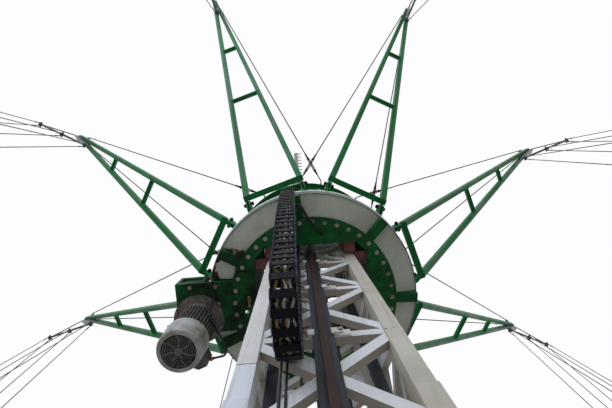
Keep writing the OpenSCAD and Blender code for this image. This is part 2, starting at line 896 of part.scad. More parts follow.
// Crossbars of one straight piece of the chain's middle line.
module chain_bars(i) {
    v = (chain_line[i + 1] - chain_line[i]) / chain_steps[i];
    first = ceil(chain_runs[i] / chain_pitch);
    last = ceil(chain_runs[i + 1] / chain_pitch) - 1;
    if (last >= first)
        for (k = [first : last]) {
            at = chain_line[i] + v * (k * chain_pitch - chain_runs[i]);
            translate([chain_x, at[0], at[1]])
                rotate([atan2(v[1], v[0]), 0, 0])
                    for (e = [-1, 1])
                        translate([-chain_w / 2 + chain_side_t - 1, 4, e * (chain_h / 2 - 7) - 4])
                            cube([chain_w - 2 * chain_side_t + 2, 20, 8]);
        }
}

// Clamps on the back of the sleeve that reach to the hoist ropes.
module rope_clamps() {
    color("gray")
        for (s = [-1, 1])
            translate([s * rope_x, 0, plate_top + sleeve_h - 90])
                difference() {
                    translate([-30, rope_y - 25, 0])
                        cube([60, well_half - rope_y + 25, 80]);
                    translate([0, rope_y, -1])
                        cylinder(r = rope_r + seat_gap, h = 82, $fn = 24);
                }
}

// Moving half of the slewing ring, under the turning head.
module slew_ring_moving() {
    color("gray")
        translate([0, 0, rotor_z])
            ring(bearing_out + 20, bearing_in, 24);
}

// Hub floor: a ring plate with a box beam round its edge.
module hub_floor() {
    color("green")
        translate([0, 0, floor_z])
            rotate_extrude($fn = 96)
                difference() {
                    union() {
                        translate([bearing_in, 0])
                            square([floor_r - bearing_in, floor_t]);
                        translate([floor_r - edge_w, 0])
                            square([edge_w, floor_t + floor_h]);
                    }
                    translate([floor_r - edge_w + edge_t, floor_t])
                        square([edge_w - 2 * edge_t, floor_h - edge_t]);
                }
}

// Lugs for the arms' roots: pairs of plates on the hub floor's edge, each with a pin.
module arm_lugs() {
    color("darkgreen")
        for (i = [1 : arm_count])
            at_arm(i)
                for (s = [-1, 1])
                    root_lug(s);
}

// Pair of lugs with a pin, outside the hub floor.
module root_lug(s) {
    difference() {
        union() {
            for (e = [-1, 1])
                translate([0, s * arm_half + e * (lug_t + 1) + lug_t / 2, 0])
                    rotate([90, 0, 0])
                        linear_extrude(lug_t)
                            polygon([
                                [floor_r - 60, root_z - 110], [floor_r + 20, root_z - 110],
                                [lug_out_r - 20, root_z - 70], [lug_out_r, root_z - 50],
                                [lug_out_r, root_z + 12], [lug_out_r - 20, root_z + 32],
                                [floor_r + 10, root_z + 32], [floor_r - 10, edge_top_z], [floor_r - 60, edge_top_z],
                            ]);
            translate([lug_out_r - 34, s * arm_half, root_z - 14])
                rotate([90, 0, 0])
                    cylinder(r = pin_r, h = 5 * lug_t, center = true);
        }
        cylinder(r = floor_r + seat_gap, h = root_z + 100, $fn = 96);
    }
}

// Columns that join the hub floor to the top ring, one between every two arms.
module hub_columns() {
    low = edge_top_z + seat_gap;
    high = plate_z + top_ring_rise - seat_gap;
    pane_w = column_w - 2 * column_frame;
    pane_h = (high - low - 3 * column_frame) / 2;
    color("green")
        for (i = [1 : arm_count])
            at_gap(i)
                difference() {
                    translate([floor_r - column_in - column_t, -column_w / 2, low])
                        cube([column_t, column_w, high - low]);
                    for (z = [low + column_frame, high - column_frame - pane_h])
                        translate([floor_r - column_in - 1.5 * column_t, -pane_w / 2, z])
                            cube([2 * column_t, pane_w, pane_h]);
                }
}

// Top ring of the hub, with the lugs that hold the stays.
module hub_top_ring() {
    color("green") {
        translate([0, 0, plate_z + top_ring_rise])
            difference() {
                ring(top_ring_r, top_ring_r - top_ring_w, top_ring_h);
                translate([0, 0, 8])
                    ring(top_ring_r - 8, top_ring_r - top_ring_w + 8, top_ring_h - 16);
            }
        for (i = [1 : arm_count], s = [-1, 1])
            at_gap(i)
                rotate([0, 0, s * stay_angle])
                    translate([top_ring_r - 12, -lug_t / 2, plate_z + stay_rise + s * stay_step - 26])
                        cube([stay_lug + 12, lug_t, 52]);
    }
}

// Points of the arm that the stays and the spreader are tied to, with the arm along +X.
root_z = plate_z + arm_root_rise;
tip_z = plate_z + arm_tip_rise;
tip_half = 8;
tip_side = tip_half + chord_w / 2;
function on_chord(t, s) = [
    arm_root_r + t * (arm_tip_r - arm_root_r),
    s * (arm_half + t * (tip_half - arm_half)),
    root_z + t * (tip_z - root_z),
];

// Arm along +X: two chords that close to a tip, a root beam, two crossbars and root tongues.
module arm() {
    color("green")
        difference() {
            union() {
                for (s = [-1, 1])
                    bar(on_chord(0, s), on_chord(1, s), chord_w, chord_w);
                bar([arm_root_r, -arm_half - chord_w / 2, root_z], [arm_root_r, arm_half + chord_w / 2, root_z],
                    chord_w, chord_w);
                for (t = [crossbar_in, crossbar_out])
                    bar(on_chord(t, -1), on_chord(t, 1), crossbar_w, crossbar_w);
                for (s = [-1, 1])
                    root_tongue(s);
                for (s = [-1, 1])
                    translate([arm_tip_r - 150, s * (tip_side - 6) - 8, tip_z - 70])
                        cube([60, 16, 100]);
            }
            translate([arm_tip_r - slot_l, -lug_t / 2 - seat_gap, tip_z - slot_l])
                cube([2 * slot_l, lug_t + 2 * seat_gap, 2 * slot_l]);
        }
}

// Tongue at an arm's root that sits between two lugs round the pin.
module root_tongue(s) {
    in_r = lug_out_r - 62;
    out_r = arm_root_r - chord_w / 2 + 6;
    translate([0, s * arm_half, 0])
        rotate([90, 0, 0])
            translate([0, 0, -lug_t / 2])
                linear_extrude(lug_t)
                    difference() {
                        polygon([
                            [in_r, root_z - 30], [in_r + 12, root_z - 44], [out_r, root_z - 30],
                            [out_r, root_z + 20], [in_r + 12, root_z + 16], [in_r, root_z + 2],
                        ]);
                        translate([lug_out_r - 34, root_z - 14])
                            circle(r = pin_r + 0.5);
                    }
}

// Where a stay is tied to its own arm's tip and to the hub, with the arm along +X.
function stay_tip(s) = [arm_tip_r - 120, s * (tip_side + 11), tip_z + s * stay_step];
function stay_foot(s) =
    let (a = s * (arm_step / 2 + stay_angle), r = top_ring_r + stay_lug + 0.75 * stay_r)
    [r * cos(a), r * sin(a), plate_z + stay_rise + s * stay_step];

// Stays: two from every arm's tip, each to the far side of the gap between two arms.
module arm_stays() {
    color("dimgray")
        for (i = [1 : arm_count])
            at_arm(i)
                for (s = [-1, 1])
                    stay(stay_tip(s), stay_foot(s));
}

// One stay: a rod with a turnbuckle near its foot.
module stay(a, b) {
    v = (b - a) / norm(b - a);
    rod(a, b, stay_r, 16);
    rod(b - v * 300, b - v * 60, stay_r * 2, 16);
}

// Height of the spreader bar's middle line at a distance from the mast.
function spreader_at(r) = spreader_z + (r - arm_tip_r) * tan(spreader_slope);

// Spreaders: a plate from every arm's tip down to a round bar, a link rod and three hooks.
module spreaders() {
    first = hook_r[0] - 30;
    last = hook_r[2] + 30;
    color("lightgray")
        for (i = [1 : arm_count])
            at_arm(i) {
                tip_plate(first);
                rod([first, 0, spreader_at(first)], [last, 0, spreader_at(last)], spreader_bar_r);
                rod([arm_tip_r + 40, 0, tip_z - 10], [last - 20, 0, spreader_at(last)], 9, 16);
                for (r = hook_r)
                    hook([r, 0, spreader_at(r)]);
            }
}

// Upright plate from the slot in an arm's tip down to the inner end of the spreader bar.
module tip_plate(first) {
    low = spreader_at(first);
    rotate([90, 0, 0])
        translate([0, 0, -lug_t / 2])
            linear_extrude(lug_t)
                polygon([
                    [arm_tip_r - 95, tip_z + 34], [arm_tip_r + 57, tip_z + 34], [arm_tip_r + 77, tip_z - 60],
                    [first + 125, low - 5], [first + 5, low - 22], [first - 5, low + 35],
                ]);
}

// Hook: a cross pin and a plate under the bar.
module hook(at) {
    translate(at) {
        translate([-8, -45, -14])
            cube([16, 90, 16]);
        translate([-6, -35, -62])
            cube([12, 70, 60]);
    }
}

// Height at which the ropes leave a hook.
function rope_top_z(r) = spreader_at(r) - 62.6;

// Hanging ropes: a front and a back rope from each hook to the seat under it.
module hanging_ropes() {
    color("dimgray")
        for (i = [1 : arm_count])
            at_arm(i)
                for (r = hook_r, s = [-1, 1])
                    rod([r, s * 25, rope_top_z(r)], [r, s * seat_rope_gap / 2, rope_end_z + 0.6], hang_rope_r, 8);
}

// Double seat under an arm: three side frames, two pans with backs, and lap bars.
module seat() {
    pan_z = rope_end_z - seat_drop;
    back_y = seat_d / 2;
    color("seagreen") {
        for (r = hook_r)
            seat_side(r, pan_z);
        for (k = [0, 1]) {
            low_r = hook_r[k] + 20;
            width = hook_r[k + 1] - hook_r[k] - 40;
            translate([low_r - 1, 0, pan_z])
                rotate([90, 0, 90])
                    linear_extrude(width + 2)
                        polygon([
                            [-seat_d / 2, 0], [seat_d / 2 - 30, -20], [seat_d / 2 + 10, 10],
                            [seat_d / 2 + 90, seat_back_h], [seat_d / 2 + 60, seat_back_h],
                            [seat_d / 2 - 26, 34], [-seat_d / 2, seat_t + 6], [-seat_d / 2 - 24, seat_t - 10],
                            [-seat_d / 2 - 24, 4],
                        ]);
        }
    }
}

// Side frame of a double seat: a flat loop that the front and back ropes are tied to.
module seat_side(r, pan_z) {
    half_gap = seat_rope_gap / 2;
    translate([r - 20, 0, 0])
        rotate([90, 0, 90])
            linear_extrude(40)
                difference() {
                    polygon([
                        [-half_gap - 20, rope_end_z], [half_gap + 20, rope_end_z], [half_gap + 20, rope_end_z - 40],
                        [seat_d / 2 + 30, pan_z - 40], [-seat_d / 2 - 30, pan_z - 40], [-half_gap - 20, rope_end_z - 40],
                    ]);
                    polygon([
                        [-half_gap + 20, rope_end_z - 40], [half_gap - 20, rope_end_z - 40],
                        [seat_d / 2 - 20, pan_z + 40], [-seat_d / 2 + 20, pan_z + 40],
                    ]);
                }
}

base_flange();
leg(-1, -1);  // leg_front_left
leg(1, -1);  // leg_front_right
leg(-1, 1);  // leg_back_left
leg(1, 1);  // leg_back_right
brace(0);  // brace_front
brace(180);  // brace_back
brace(270);  // brace_left
brace(90);  // brace_right
rail(0);  // rail_front
rail(180);  // rail_back
rail_clamps();
counterweight_rails();
mast_cables();
head_frame();
head_sheaves();
foot_sheaves();
hoist_ropes();
service_jib();
slew_plate();
cover_spokes();
cover_panels();
rim_band();
carriage_sleeve();
guide_shoes();
slew_ring_fixed();
drive_housing();
motor_body();
motor_cowl();
motor_box();
chain_bracket();
energy_chain();
rope_clamps();
slew_ring_moving();
hub_floor();
arm_lugs();
hub_columns();
hub_top_ring();
at_arm(1) arm();  // arm_1
at_arm(2) arm();  // arm_2
at_arm(3) arm();  // arm_3
at_arm(4) arm();  // arm_4
at_arm(5) arm();  // arm_5
at_arm(6) arm();  // arm_6
at_arm(7) arm();  // arm_7
at_arm(8) arm();  // arm_8
arm_stays();
spreaders();
hanging_ropes();
at_arm(1) seat();  // seat_1
at_arm(2) seat();  // seat_2
at_arm(3) seat();  // seat_3
at_arm(4) seat();  // seat_4
at_arm(5) seat();  // seat_5
at_arm(6) seat();  // seat_6
at_arm(7) seat();  // seat_7
at_arm(8) seat();  // seat_8
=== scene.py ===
"""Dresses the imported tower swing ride: finishes, bolts, links, ropes and seats, and the studio round it."""

import json
import logging
import math
from dataclasses import dataclass, field
from enum import Enum
from typing import Sequence

import bmesh
import bpy
from mathutils import Matrix, Vector


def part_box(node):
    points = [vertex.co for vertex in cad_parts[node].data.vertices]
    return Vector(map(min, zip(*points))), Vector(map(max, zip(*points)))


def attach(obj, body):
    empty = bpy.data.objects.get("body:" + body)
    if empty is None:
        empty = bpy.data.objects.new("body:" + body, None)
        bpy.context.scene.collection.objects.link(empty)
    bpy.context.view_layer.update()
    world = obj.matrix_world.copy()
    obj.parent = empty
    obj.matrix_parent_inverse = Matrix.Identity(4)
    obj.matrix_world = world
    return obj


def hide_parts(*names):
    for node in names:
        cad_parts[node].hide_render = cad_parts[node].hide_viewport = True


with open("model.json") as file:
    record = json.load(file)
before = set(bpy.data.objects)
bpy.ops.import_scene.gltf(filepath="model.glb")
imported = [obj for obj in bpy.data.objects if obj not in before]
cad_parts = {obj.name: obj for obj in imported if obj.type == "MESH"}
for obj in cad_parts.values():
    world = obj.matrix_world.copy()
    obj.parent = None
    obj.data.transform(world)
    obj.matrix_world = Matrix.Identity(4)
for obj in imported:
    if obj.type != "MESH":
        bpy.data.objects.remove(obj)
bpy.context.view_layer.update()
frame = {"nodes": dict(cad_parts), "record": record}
LOG = logging.getLogger("swing_ride")
MM = 0.001
Point = Sequence[float]
Rod = tuple[Vector, Vector, float]
Tree = bpy.types.NodeTree
Socket = bpy.types.NodeSocket
Mesh = bpy.types.Mesh
Object = bpy.types.Object

# Kinds of node and settings that the finishes use most, the sockets of a colour mix, and two axes
MATH = "ShaderNodeMath"
MIX = "ShaderNodeMix"
RANGE = "ShaderNodeMapRange"
BUMP = "ShaderNodeBump"
TIMES = {"operation": "MULTIPLY"}
MINUS = {"operation": "SUBTRACT"}
LARGER = {"operation": "MAXIMUM"}
BELOW = {"operation": "LESS_THAN"}
SIZE = {"operation": "ABSOLUTE"}
COLOURS = {"data_type": "RGBA"}
SOFT = {"interpolation_type": "SMOOTHSTEP"}
SHARE, UNDER, OVER = 0, 6, 7
MIXED = 2
ACROSS, UPRIGHT = 0, 2


def linear(code: str) -> tuple[float, float, float, float]:
    """Turns an sRGB hex value into linear light.

    Args:
        code: The colour as six hex digits, with or without a leading hash.

    Returns:
        Red, green, blue and an alpha of 1, in linear light.
    """
    parts = [int(code.lstrip("#")[i:i + 2], 16) / 255 for i in (0, 2, 4)]
    red, green, blue = (c / 12.92 if c <= 0.04045 else ((c + 0.055) / 1.055) ** 2.4 for c in parts)
    return red, green, blue, 1.0


def feed(tree: Tree, node: bpy.types.Node, sockets: dict) -> None:
    """Sets or links the inputs of a node.

    Args:
        tree: The tree that holds the node.
        node: The node.
        sockets: Inputs by name or number, each a value, a hex colour or another node's output.
    """
    for name, value in sockets.items():
        if isinstance(value, bpy.types.NodeSocket):
            tree.links.new(value, node.inputs[name])
        else:
            node.inputs[name].default_value = linear(value) if str(value).startswith("#") else value


def add(tree: Tree, kind: str, settings: dict | None = None, sockets: dict | None = None) -> bpy.types.Node:
    """Adds a node with its settings and links.

    Args:
        tree: The node tree that gets the node.
        kind: Blender's identifier of the node.
        settings: Properties of the node, by name.
        sockets: Inputs by name or number, each a value, a hex colour or another node's output.

    Returns:
        The new node.
    """
    node = tree.nodes.new(kind)
    for name, value in (settings or {}).items():
        setattr(node, name, value)
    feed(tree, node, sockets or {})
    return node


def coordinate(tree: Tree, axis: int) -> Socket:
    """Returns the Object coordinate along one axis, in metres."""
    place = add(tree, "ShaderNodeTexCoord").outputs["Object"]
    return add(tree, "ShaderNodeSeparateXYZ", {}, {0: place}).outputs[axis]


def distance(tree: Tree, at: Point) -> Socket:
    """Returns the distance from a point, in metres, on Object coordinates."""
    place = add(tree, "ShaderNodeTexCoord").outputs["Object"]
    return add(tree, "ShaderNodeVectorMath", {"operation": "DISTANCE"}, {0: place, 1: at}).outputs["Value"]


def blotches(tree: Tree, size: float, low: float, high: float, stretch: Point = (1, 1, 1),
             detail: float = 4) -> Socket:
    """Makes soft-edged blotches on Object coordinates.

    Args:
        tree: The material's tree.
        size: Grain of the blotches, in millimetres.
        low: Noise value at which a blotch begins.
        high: Noise value at which it is full.
        stretch: Scale of the pattern along each axis.
        detail: Octaves of the noise.

    Returns:
        A factor from 0 to 1.
    """
    coord = add(tree, "ShaderNodeTexCoord").outputs["Object"]
    place = add(tree, "ShaderNodeMapping", {}, {"Vector": coord, "Scale": stretch}).outputs[0]
    noise = add(tree, "ShaderNodeTexNoise", {},
                {"Vector": place, "Scale": 1 / (size * MM), "Detail": detail, "Roughness": 0.62}).outputs[0]
    return add(tree, RANGE, SOFT, {"Value": noise, "From Min": low, "From Max": high}).outputs[0]


class Finish:
    """A surface finish that makes its material once and hands it out.

    Attributes:
        name: The material's name.
    """

    name: str

    def material(self) -> bpy.types.Material:
        """Hands out the finish's material, made on first use.

        Returns:
            The material.
        """
        found = bpy.data.materials.get(self.name)
        if found:
            return found
        made = bpy.data.materials.new(self.name)
        made.use_nodes = True
        tree = made.node_tree
        tree.nodes.clear()
        shader = add(tree, "ShaderNodeBsdfPrincipled")
        add(tree, "ShaderNodeOutputMaterial", {}, {"Surface": shader.outputs[0]})
        self.paint_on(tree, shader)
        return made

    def paint_on(self, tree: Tree, shader: bpy.types.Node) -> None:
        """Builds the finish's nodes into the shader."""
        raise NotImplementedError


@dataclass(frozen=True)
class BrushedEnamel(Finish):
    """Alkyd enamel brushed on steel: a gloss skin with faded patches, chips down to rust, and grime.

    Attributes:
        name: The material's name.
        paint: The sound paint.
        faded: The paint where the sun has bleached it.
        rust: The bare steel in the chips.
        rust_share: How much paint is lost, from 0 to 1.
        grime: The dirt that rain draws down.
        grime_share: How thick the dirt is, from 0 to 1.
        roughness: Roughness of the sound paint.
        patch: Size of a faded patch, in millimetres.
        coat: Weight of the gloss skin.
        specular: Strength of the paint's own reflection.
        joints: Height of the lowest joint with the bracing, and of a bay, for the rust that gathers there.
        zones: Places where the paint lifts, each a point, and the radii at which its rust starts and ends.
        drive_grease_and_shade: Middle and reach of the dark clouds round a drive: grease, and painted shade
            of the motor.
        seam: Height of the butt joint between two lengths of the mast.
        below: The painted cool tint of sky light on the paint below that joint.
        underside: The tan on faces that look down: painted shade, with dust.
    """

    name: str
    paint: str
    faded: str
    rust: str = "#5b3020"
    rust_share: float = 0.25
    grime: str = "#4a463a"
    grime_share: float = 0.3
    roughness: float = 0.32
    patch: float = 420
    coat: float = 0.25
    specular: float = 0.4
    joints: tuple[float, float] | None = None
    zones: tuple[tuple[float, float, float, float, float], ...] = ()
    drive_grease_and_shade: tuple[float, float, float, float] | None = None
    seam: float | None = None
    below: str | None = None
    underside: str | None = None

    def joint_rust(self, tree: Tree) -> Socket:
        """Makes the rust where the bracing meets the legs, every bay up the mast.

        Args:
            tree: The material's tree.

        Returns:
            A factor that is high there.
        """
        start, bay = self.joints
        above = add(tree, MATH, MINUS, {0: coordinate(tree, UPRIGHT), 1: start}).outputs[0]
        off = add(tree, MATH, {"operation": "PINGPONG"}, {0: above, 1: bay / 2}).outputs[0]
        reach, core = 0.07, 0.01
        near = add(tree, RANGE, SOFT, {"Value": off, "From Min": reach, "From Max": core}).outputs[0]
        speckle = blotches(tree, size=22, low=0.6, high=0.7, detail=8)
        return add(tree, MATH, TIMES, {0: near, 1: speckle}).outputs[0]

    def seam_line(self, tree: Tree) -> Socket:
        """Makes the dark line of the butt joint where two lengths of the mast meet.

        Args:
            tree: The material's tree.

        Returns:
            A factor that is one on the line.
        """
        above = add(tree, MATH, MINUS, {0: coordinate(tree, UPRIGHT), 1: self.seam}).outputs[0]
        off = add(tree, MATH, SIZE, {0: above}).outputs[0]
        return add(tree, MATH, BELOW, {0: off, 1: 3 * MM}).outputs[0]

    def sky_tint_below_seam(self, tree: Tree, paint: Socket) -> Socket:
        """Puts painted light, a cool tint of sky light, on the length of mast below the seam.

        Args:
            tree: The material's tree.
            paint: The paint so far.

        Returns:
            The paint with that painted tint.
        """
        low = add(tree, MATH, BELOW, {0: coordinate(tree, UPRIGHT), 1: self.seam}).outputs[0]
        cover = 0.7
        share = add(tree, MATH, TIMES, {0: low, 1: cover}).outputs[0]
        return add(tree, MIX, COLOURS, {SHARE: share, UNDER: paint, OVER: self.below}).outputs[MIXED]

    def dust_and_shade_below(self, tree: Tree, paint: Socket) -> Socket:
        """Lays painted shade with dust, a tan, on the faces that the piece's own attribute marks as looking
        down.

        Args:
            tree: The material's tree.
            paint: The paint so far.

        Returns:
            The paint with the painted shade and dust.
        """
        mark = add(tree, "ShaderNodeAttribute", {"attribute_name": "faces_down"}).outputs["Fac"]
        share = add(tree, RANGE, {},
                    {"Value": mark, "From Min": 0.25, "From Max": 0.6, "To Max": 0.9}).outputs[0]
        return add(tree, MIX, COLOURS, {SHARE: share, UNDER: paint, OVER: self.underside}).outputs[MIXED]

    def drive_grease_and_shade_share(self, tree: Tree) -> Socket:
        """Makes the dark clouds round the drive: old grease, and painted shade of the motor.

        Args:
            tree: The material's tree.

        Returns:
            A factor that is high there.
        """
        *middle, reach = self.drive_grease_and_shade
        near = add(tree, RANGE, SOFT, {"Value": distance(tree, middle), "From Min": reach,
                                       "From Max": reach * 0.6, "To Max": 0.85}).outputs[0]
        clouds = blotches(tree, size=150, low=0.3, high=0.62, detail=6)
        return add(tree, MATH, TIMES, {0: near, 1: clouds}).outputs[0]

    def zone_rust(self, tree: Tree, at: Point, start: float, end: float) -> Socket:
        """Makes the ragged ring of rust round a patch where the paint lifts.

        Args:
            tree: The material's tree.
            at: The patch's middle.
            start: The ring's inner radius, or less than nought for a filled patch.
            end: The ring's outer radius.

        Returns:
            A factor that is high on the ring.
        """
        ragged = blotches(tree, size=80, low=0.3, high=0.7, detail=7)
        raggedness = 0.05
        away = add(tree, MATH, {"operation": "MULTIPLY_ADD"},
                   {0: ragged, 1: raggedness, 2: distance(tree, at)}).outputs[0]
        past = add(tree, RANGE, SOFT, {"Value": away, "From Min": start, "From Max": start + 0.02}).outputs[0]
        within = add(tree, RANGE, SOFT, {"Value": away, "From Min": end, "From Max": end - 0.04}).outputs[0]
        return add(tree, MATH, TIMES, {0: past, 1: within}).outputs[0]

    def paint_on(self, tree: Tree, shader: bpy.types.Node) -> None:
        """Layers fading, grime streaks and rust chips over the paint.

        Args:
            tree: The material's tree.
            shader: The shader that takes the layers.
        """
        fading = blotches(tree, size=self.patch, low=0.38, high=0.7)
        paint = add(tree, MIX, COLOURS, {SHARE: fading, UNDER: self.paint, OVER: self.faded}).outputs[MIXED]
        # Below the seam, a painted cool tint of sky light
        paint = self.sky_tint_below_seam(tree, paint) if self.below else paint
        # On faces that look down, painted shade with dust
        paint = self.dust_and_shade_below(tree, paint) if self.underside else paint
        # Rain draws the dirt into upright streaks
        streaks = blotches(tree, size=46, low=0.5, high=0.86, stretch=(1, 1, 0.07))
        share = add(tree, MATH, TIMES, {0: streaks, 1: self.grime_share}).outputs[0]
        # Round the drive: grease, and painted shade of the motor
        if self.drive_grease_and_shade:
            share = add(tree, MATH, LARGER, {0: share, 1: self.drive_grease_and_shade_share(tree)}).outputs[0]
        dirty = add(tree, MIX, COLOURS, {SHARE: share, UNDER: paint, OVER: self.grime}).outputs[MIXED]
        # Chips open where the noise passes an edge, which a greater share of rust lowers
        edge = 0.8 - 0.22 * self.rust_share
        rust = blotches(tree, size=95, low=edge - 0.045, high=edge, detail=9)
        extras = [self.joint_rust(tree)] if self.joints else []
        extras += [self.seam_line(tree)] if self.seam else []
        extras += [self.zone_rust(tree, zone[:3], *zone[3:]) for zone in self.zones]
        for extra in extras:
            rust = add(tree, MATH, LARGER, {0: rust, 1: extra}).outputs[0]
        colour = add(tree, MIX, COLOURS, {SHARE: rust, UNDER: dirty, OVER: self.rust}).outputs[MIXED]
        worn = add(tree, RANGE, {},
                   {"Value": fading, "To Min": self.roughness, "To Max": self.roughness + 0.2}).outputs[0]
        bare = 0.88
        rough = add(tree, MIX, {"data_type": "FLOAT"}, {SHARE: rust, 2: worn, 3: bare}).outputs[0]
        # Real brush marks are about 1 mm apart, and these are coarser, so that they show from the ground
        brush = blotches(tree, size=7, low=0.2, high=0.8, stretch=(1, 1, 0.35), detail=2)
        bump = add(tree, BUMP, {}, {"Height": brush, "Distance": 0.0006, "Strength": 0.35}).outputs[0]
        pitted = add(tree, BUMP, {}, {"Height": rust, "Distance": 0.002, "Strength": 0.5, "Normal": bump})
        feed(tree, shader, {
            "Base Color": colour, "Roughness": rough, "Normal": pitted.outputs[0],
            "Specular IOR Level": self.specular, "Coat Weight": self.coat, "Coat Roughness": 0.12})


@dataclass(frozen=True)
class BareSteel(Finish):
    """Bare steel or brass, turned or rolled: bright metal under a dark oil film and brown flash rust.

    Attributes:
        name: The material's name.
        steel: The clean metal.
        film: The metal under oil and rust.
        roughness: Roughness of the clean metal.
        film_share: How much of it the film covers, from 0 to 1.
    """

    name: str
    steel: str
    film: str
    roughness: float = 0.38
    film_share: float = 0.5

    def paint_on(self, tree: Tree, shader: bpy.types.Node) -> None:
        """Clouds the metal with film and gives it fine tool marks.

        Args:
            tree: The material's tree.
            shader: The shader that takes the layers.
        """
        film = blotches(tree, size=130, low=0.62 - 0.3 * self.film_share, high=0.72)
        colour = add(tree, MIX, COLOURS, {SHARE: film, UNDER: self.steel, OVER: self.film}).outputs[MIXED]
        rough = add(tree, RANGE, {},
                    {"Value": film, "To Min": self.roughness, "To Max": self.roughness + 0.25}).outputs[0]
        # Real tool marks are finer than this, and wouldn't show
        marks = blotches(tree, size=2.5, low=0.2, high=0.8, stretch=(1, 1, 0.1), detail=2)
        bump = add(tree, BUMP, {}, {"Height": marks, "Distance": 0.0002, "Strength": 0.3}).outputs[0]
        feed(tree, shader, {"Base Color": colour, "Roughness": rough, "Normal": bump, "Metallic": 0.9})


@dataclass(frozen=True)
class Moulded(Finish):
    """Moulded polymer or rubber: one even colour under dust, with a fine moulded grain.

    Attributes:
        name: The material's name.
        body: The polymer's colour.
        dust: The dust's colour.
        dust_share: How thick the dust is, from 0 to 1.
        roughness: Roughness of the clean polymer.
        grain: Size of the grain, in millimetres.
        specular: Strength of its reflection.
        side: Colour of the outer side faces, outside side_from: a painted highlight with dust.
        side_from: Middle across the ride, and the distance from it where those faces start.
    """

    name: str
    body: str
    dust: str
    dust_share: float = 0.35
    roughness: float = 0.5
    grain: float = 3.0
    specular: float = 0.5
    side: str | None = None
    side_from: tuple[float, float] = (0.0, 0.0)

    def paint_on(self, tree: Tree, shader: bpy.types.Node) -> None:
        """Dusts the polymer and gives it a grain.

        Args:
            tree: The material's tree.
            shader: The shader that takes the layers.
        """
        dust = blotches(tree, size=60, low=0.35, high=0.85)
        share = add(tree, MATH, TIMES, {0: dust, 1: self.dust_share}).outputs[0]
        colour = add(tree, MIX, COLOURS, {SHARE: share, UNDER: self.body, OVER: self.dust}).outputs[MIXED]
        # The outer side faces get a lighter grey: a painted highlight with dust
        if self.side:
            middle, start = self.side_from
            off = add(tree, MATH, MINUS, {0: coordinate(tree, ACROSS), 1: middle}).outputs[0]
            away = add(tree, MATH, SIZE, {0: off}).outputs[0]
            outer = add(tree, MATH, {"operation": "GREATER_THAN"}, {0: away, 1: start}).outputs[0]
            colour = add(tree, MIX, COLOURS, {SHARE: outer, UNDER: colour, OVER: self.side}).outputs[MIXED]
        rough = add(tree, RANGE, {},
                    {"Value": dust, "To Min": self.roughness, "To Max": self.roughness + 0.2}).outputs[0]
        # A real grain is about 0.1 mm, and this one is coarser, so that it shows
        grain = blotches(tree, size=self.grain, low=0.25, high=0.75, detail=2)
        bump = add(tree, BUMP, {}, {"Height": grain, "Distance": 0.0003, "Strength": 0.3}).outputs[0]
        feed(tree, shader, {"Base Color": colour, "Roughness": rough, "Normal": bump,
                            "Specular IOR Level": self.specular})


@dataclass(frozen=True)
class WireRope(Finish):
    """Galvanised wire rope, greased: strands laid round the core, which the rope's own UV map carries.

    Attributes:
        name: The material's name.
        wire: The crowns of the strands.
        grease: The grease between them.
        lay: Length along the rope for one turn of a strand, in millimetres.
        strands: Strands round the rope.
    """

    name: str
    wire: str
    grease: str
    lay: float = 60.0
    strands: int = 6

    def paint_on(self, tree: Tree, shader: bpy.types.Node) -> None:
        """Lays the strands across the UV map, whose U goes round and whose V is metres along.

        Args:
            tree: The material's tree.
            shader: The shader that takes the strands.
        """
        coord = add(tree, "ShaderNodeTexCoord").outputs["UV"]
        axes = add(tree, "ShaderNodeSeparateXYZ", {}, {0: coord}).outputs
        along = add(tree, MATH, {"operation": "DIVIDE"}, {0: axes[1], 1: self.lay * MM}).outputs[0]
        phase = add(tree, MATH, {"operation": "MULTIPLY_ADD"}, {0: axes[0], 1: 1.0, 2: along}).outputs[0]
        turn = add(tree, MATH, TIMES, {0: phase, 1: self.strands * 2 * math.pi}).outputs[0]
        wave = add(tree, MATH, {"operation": "SINE"}, {0: turn}).outputs[0]
        strand = add(tree, RANGE, {}, {"Value": wave, "From Min": -1.0, "From Max": 0.6}).outputs[0]
        colour = add(tree, MIX, COLOURS, {SHARE: strand, UNDER: self.grease, OVER: self.wire}).outputs[MIXED]
        bump = add(tree, BUMP, {}, {"Height": strand, "Distance": 0.002, "Strength": 0.6}).outputs[0]
        feed(tree, shader, {"Base Color": colour, "Normal": bump, "Metallic": 0.6, "Roughness": 0.5})


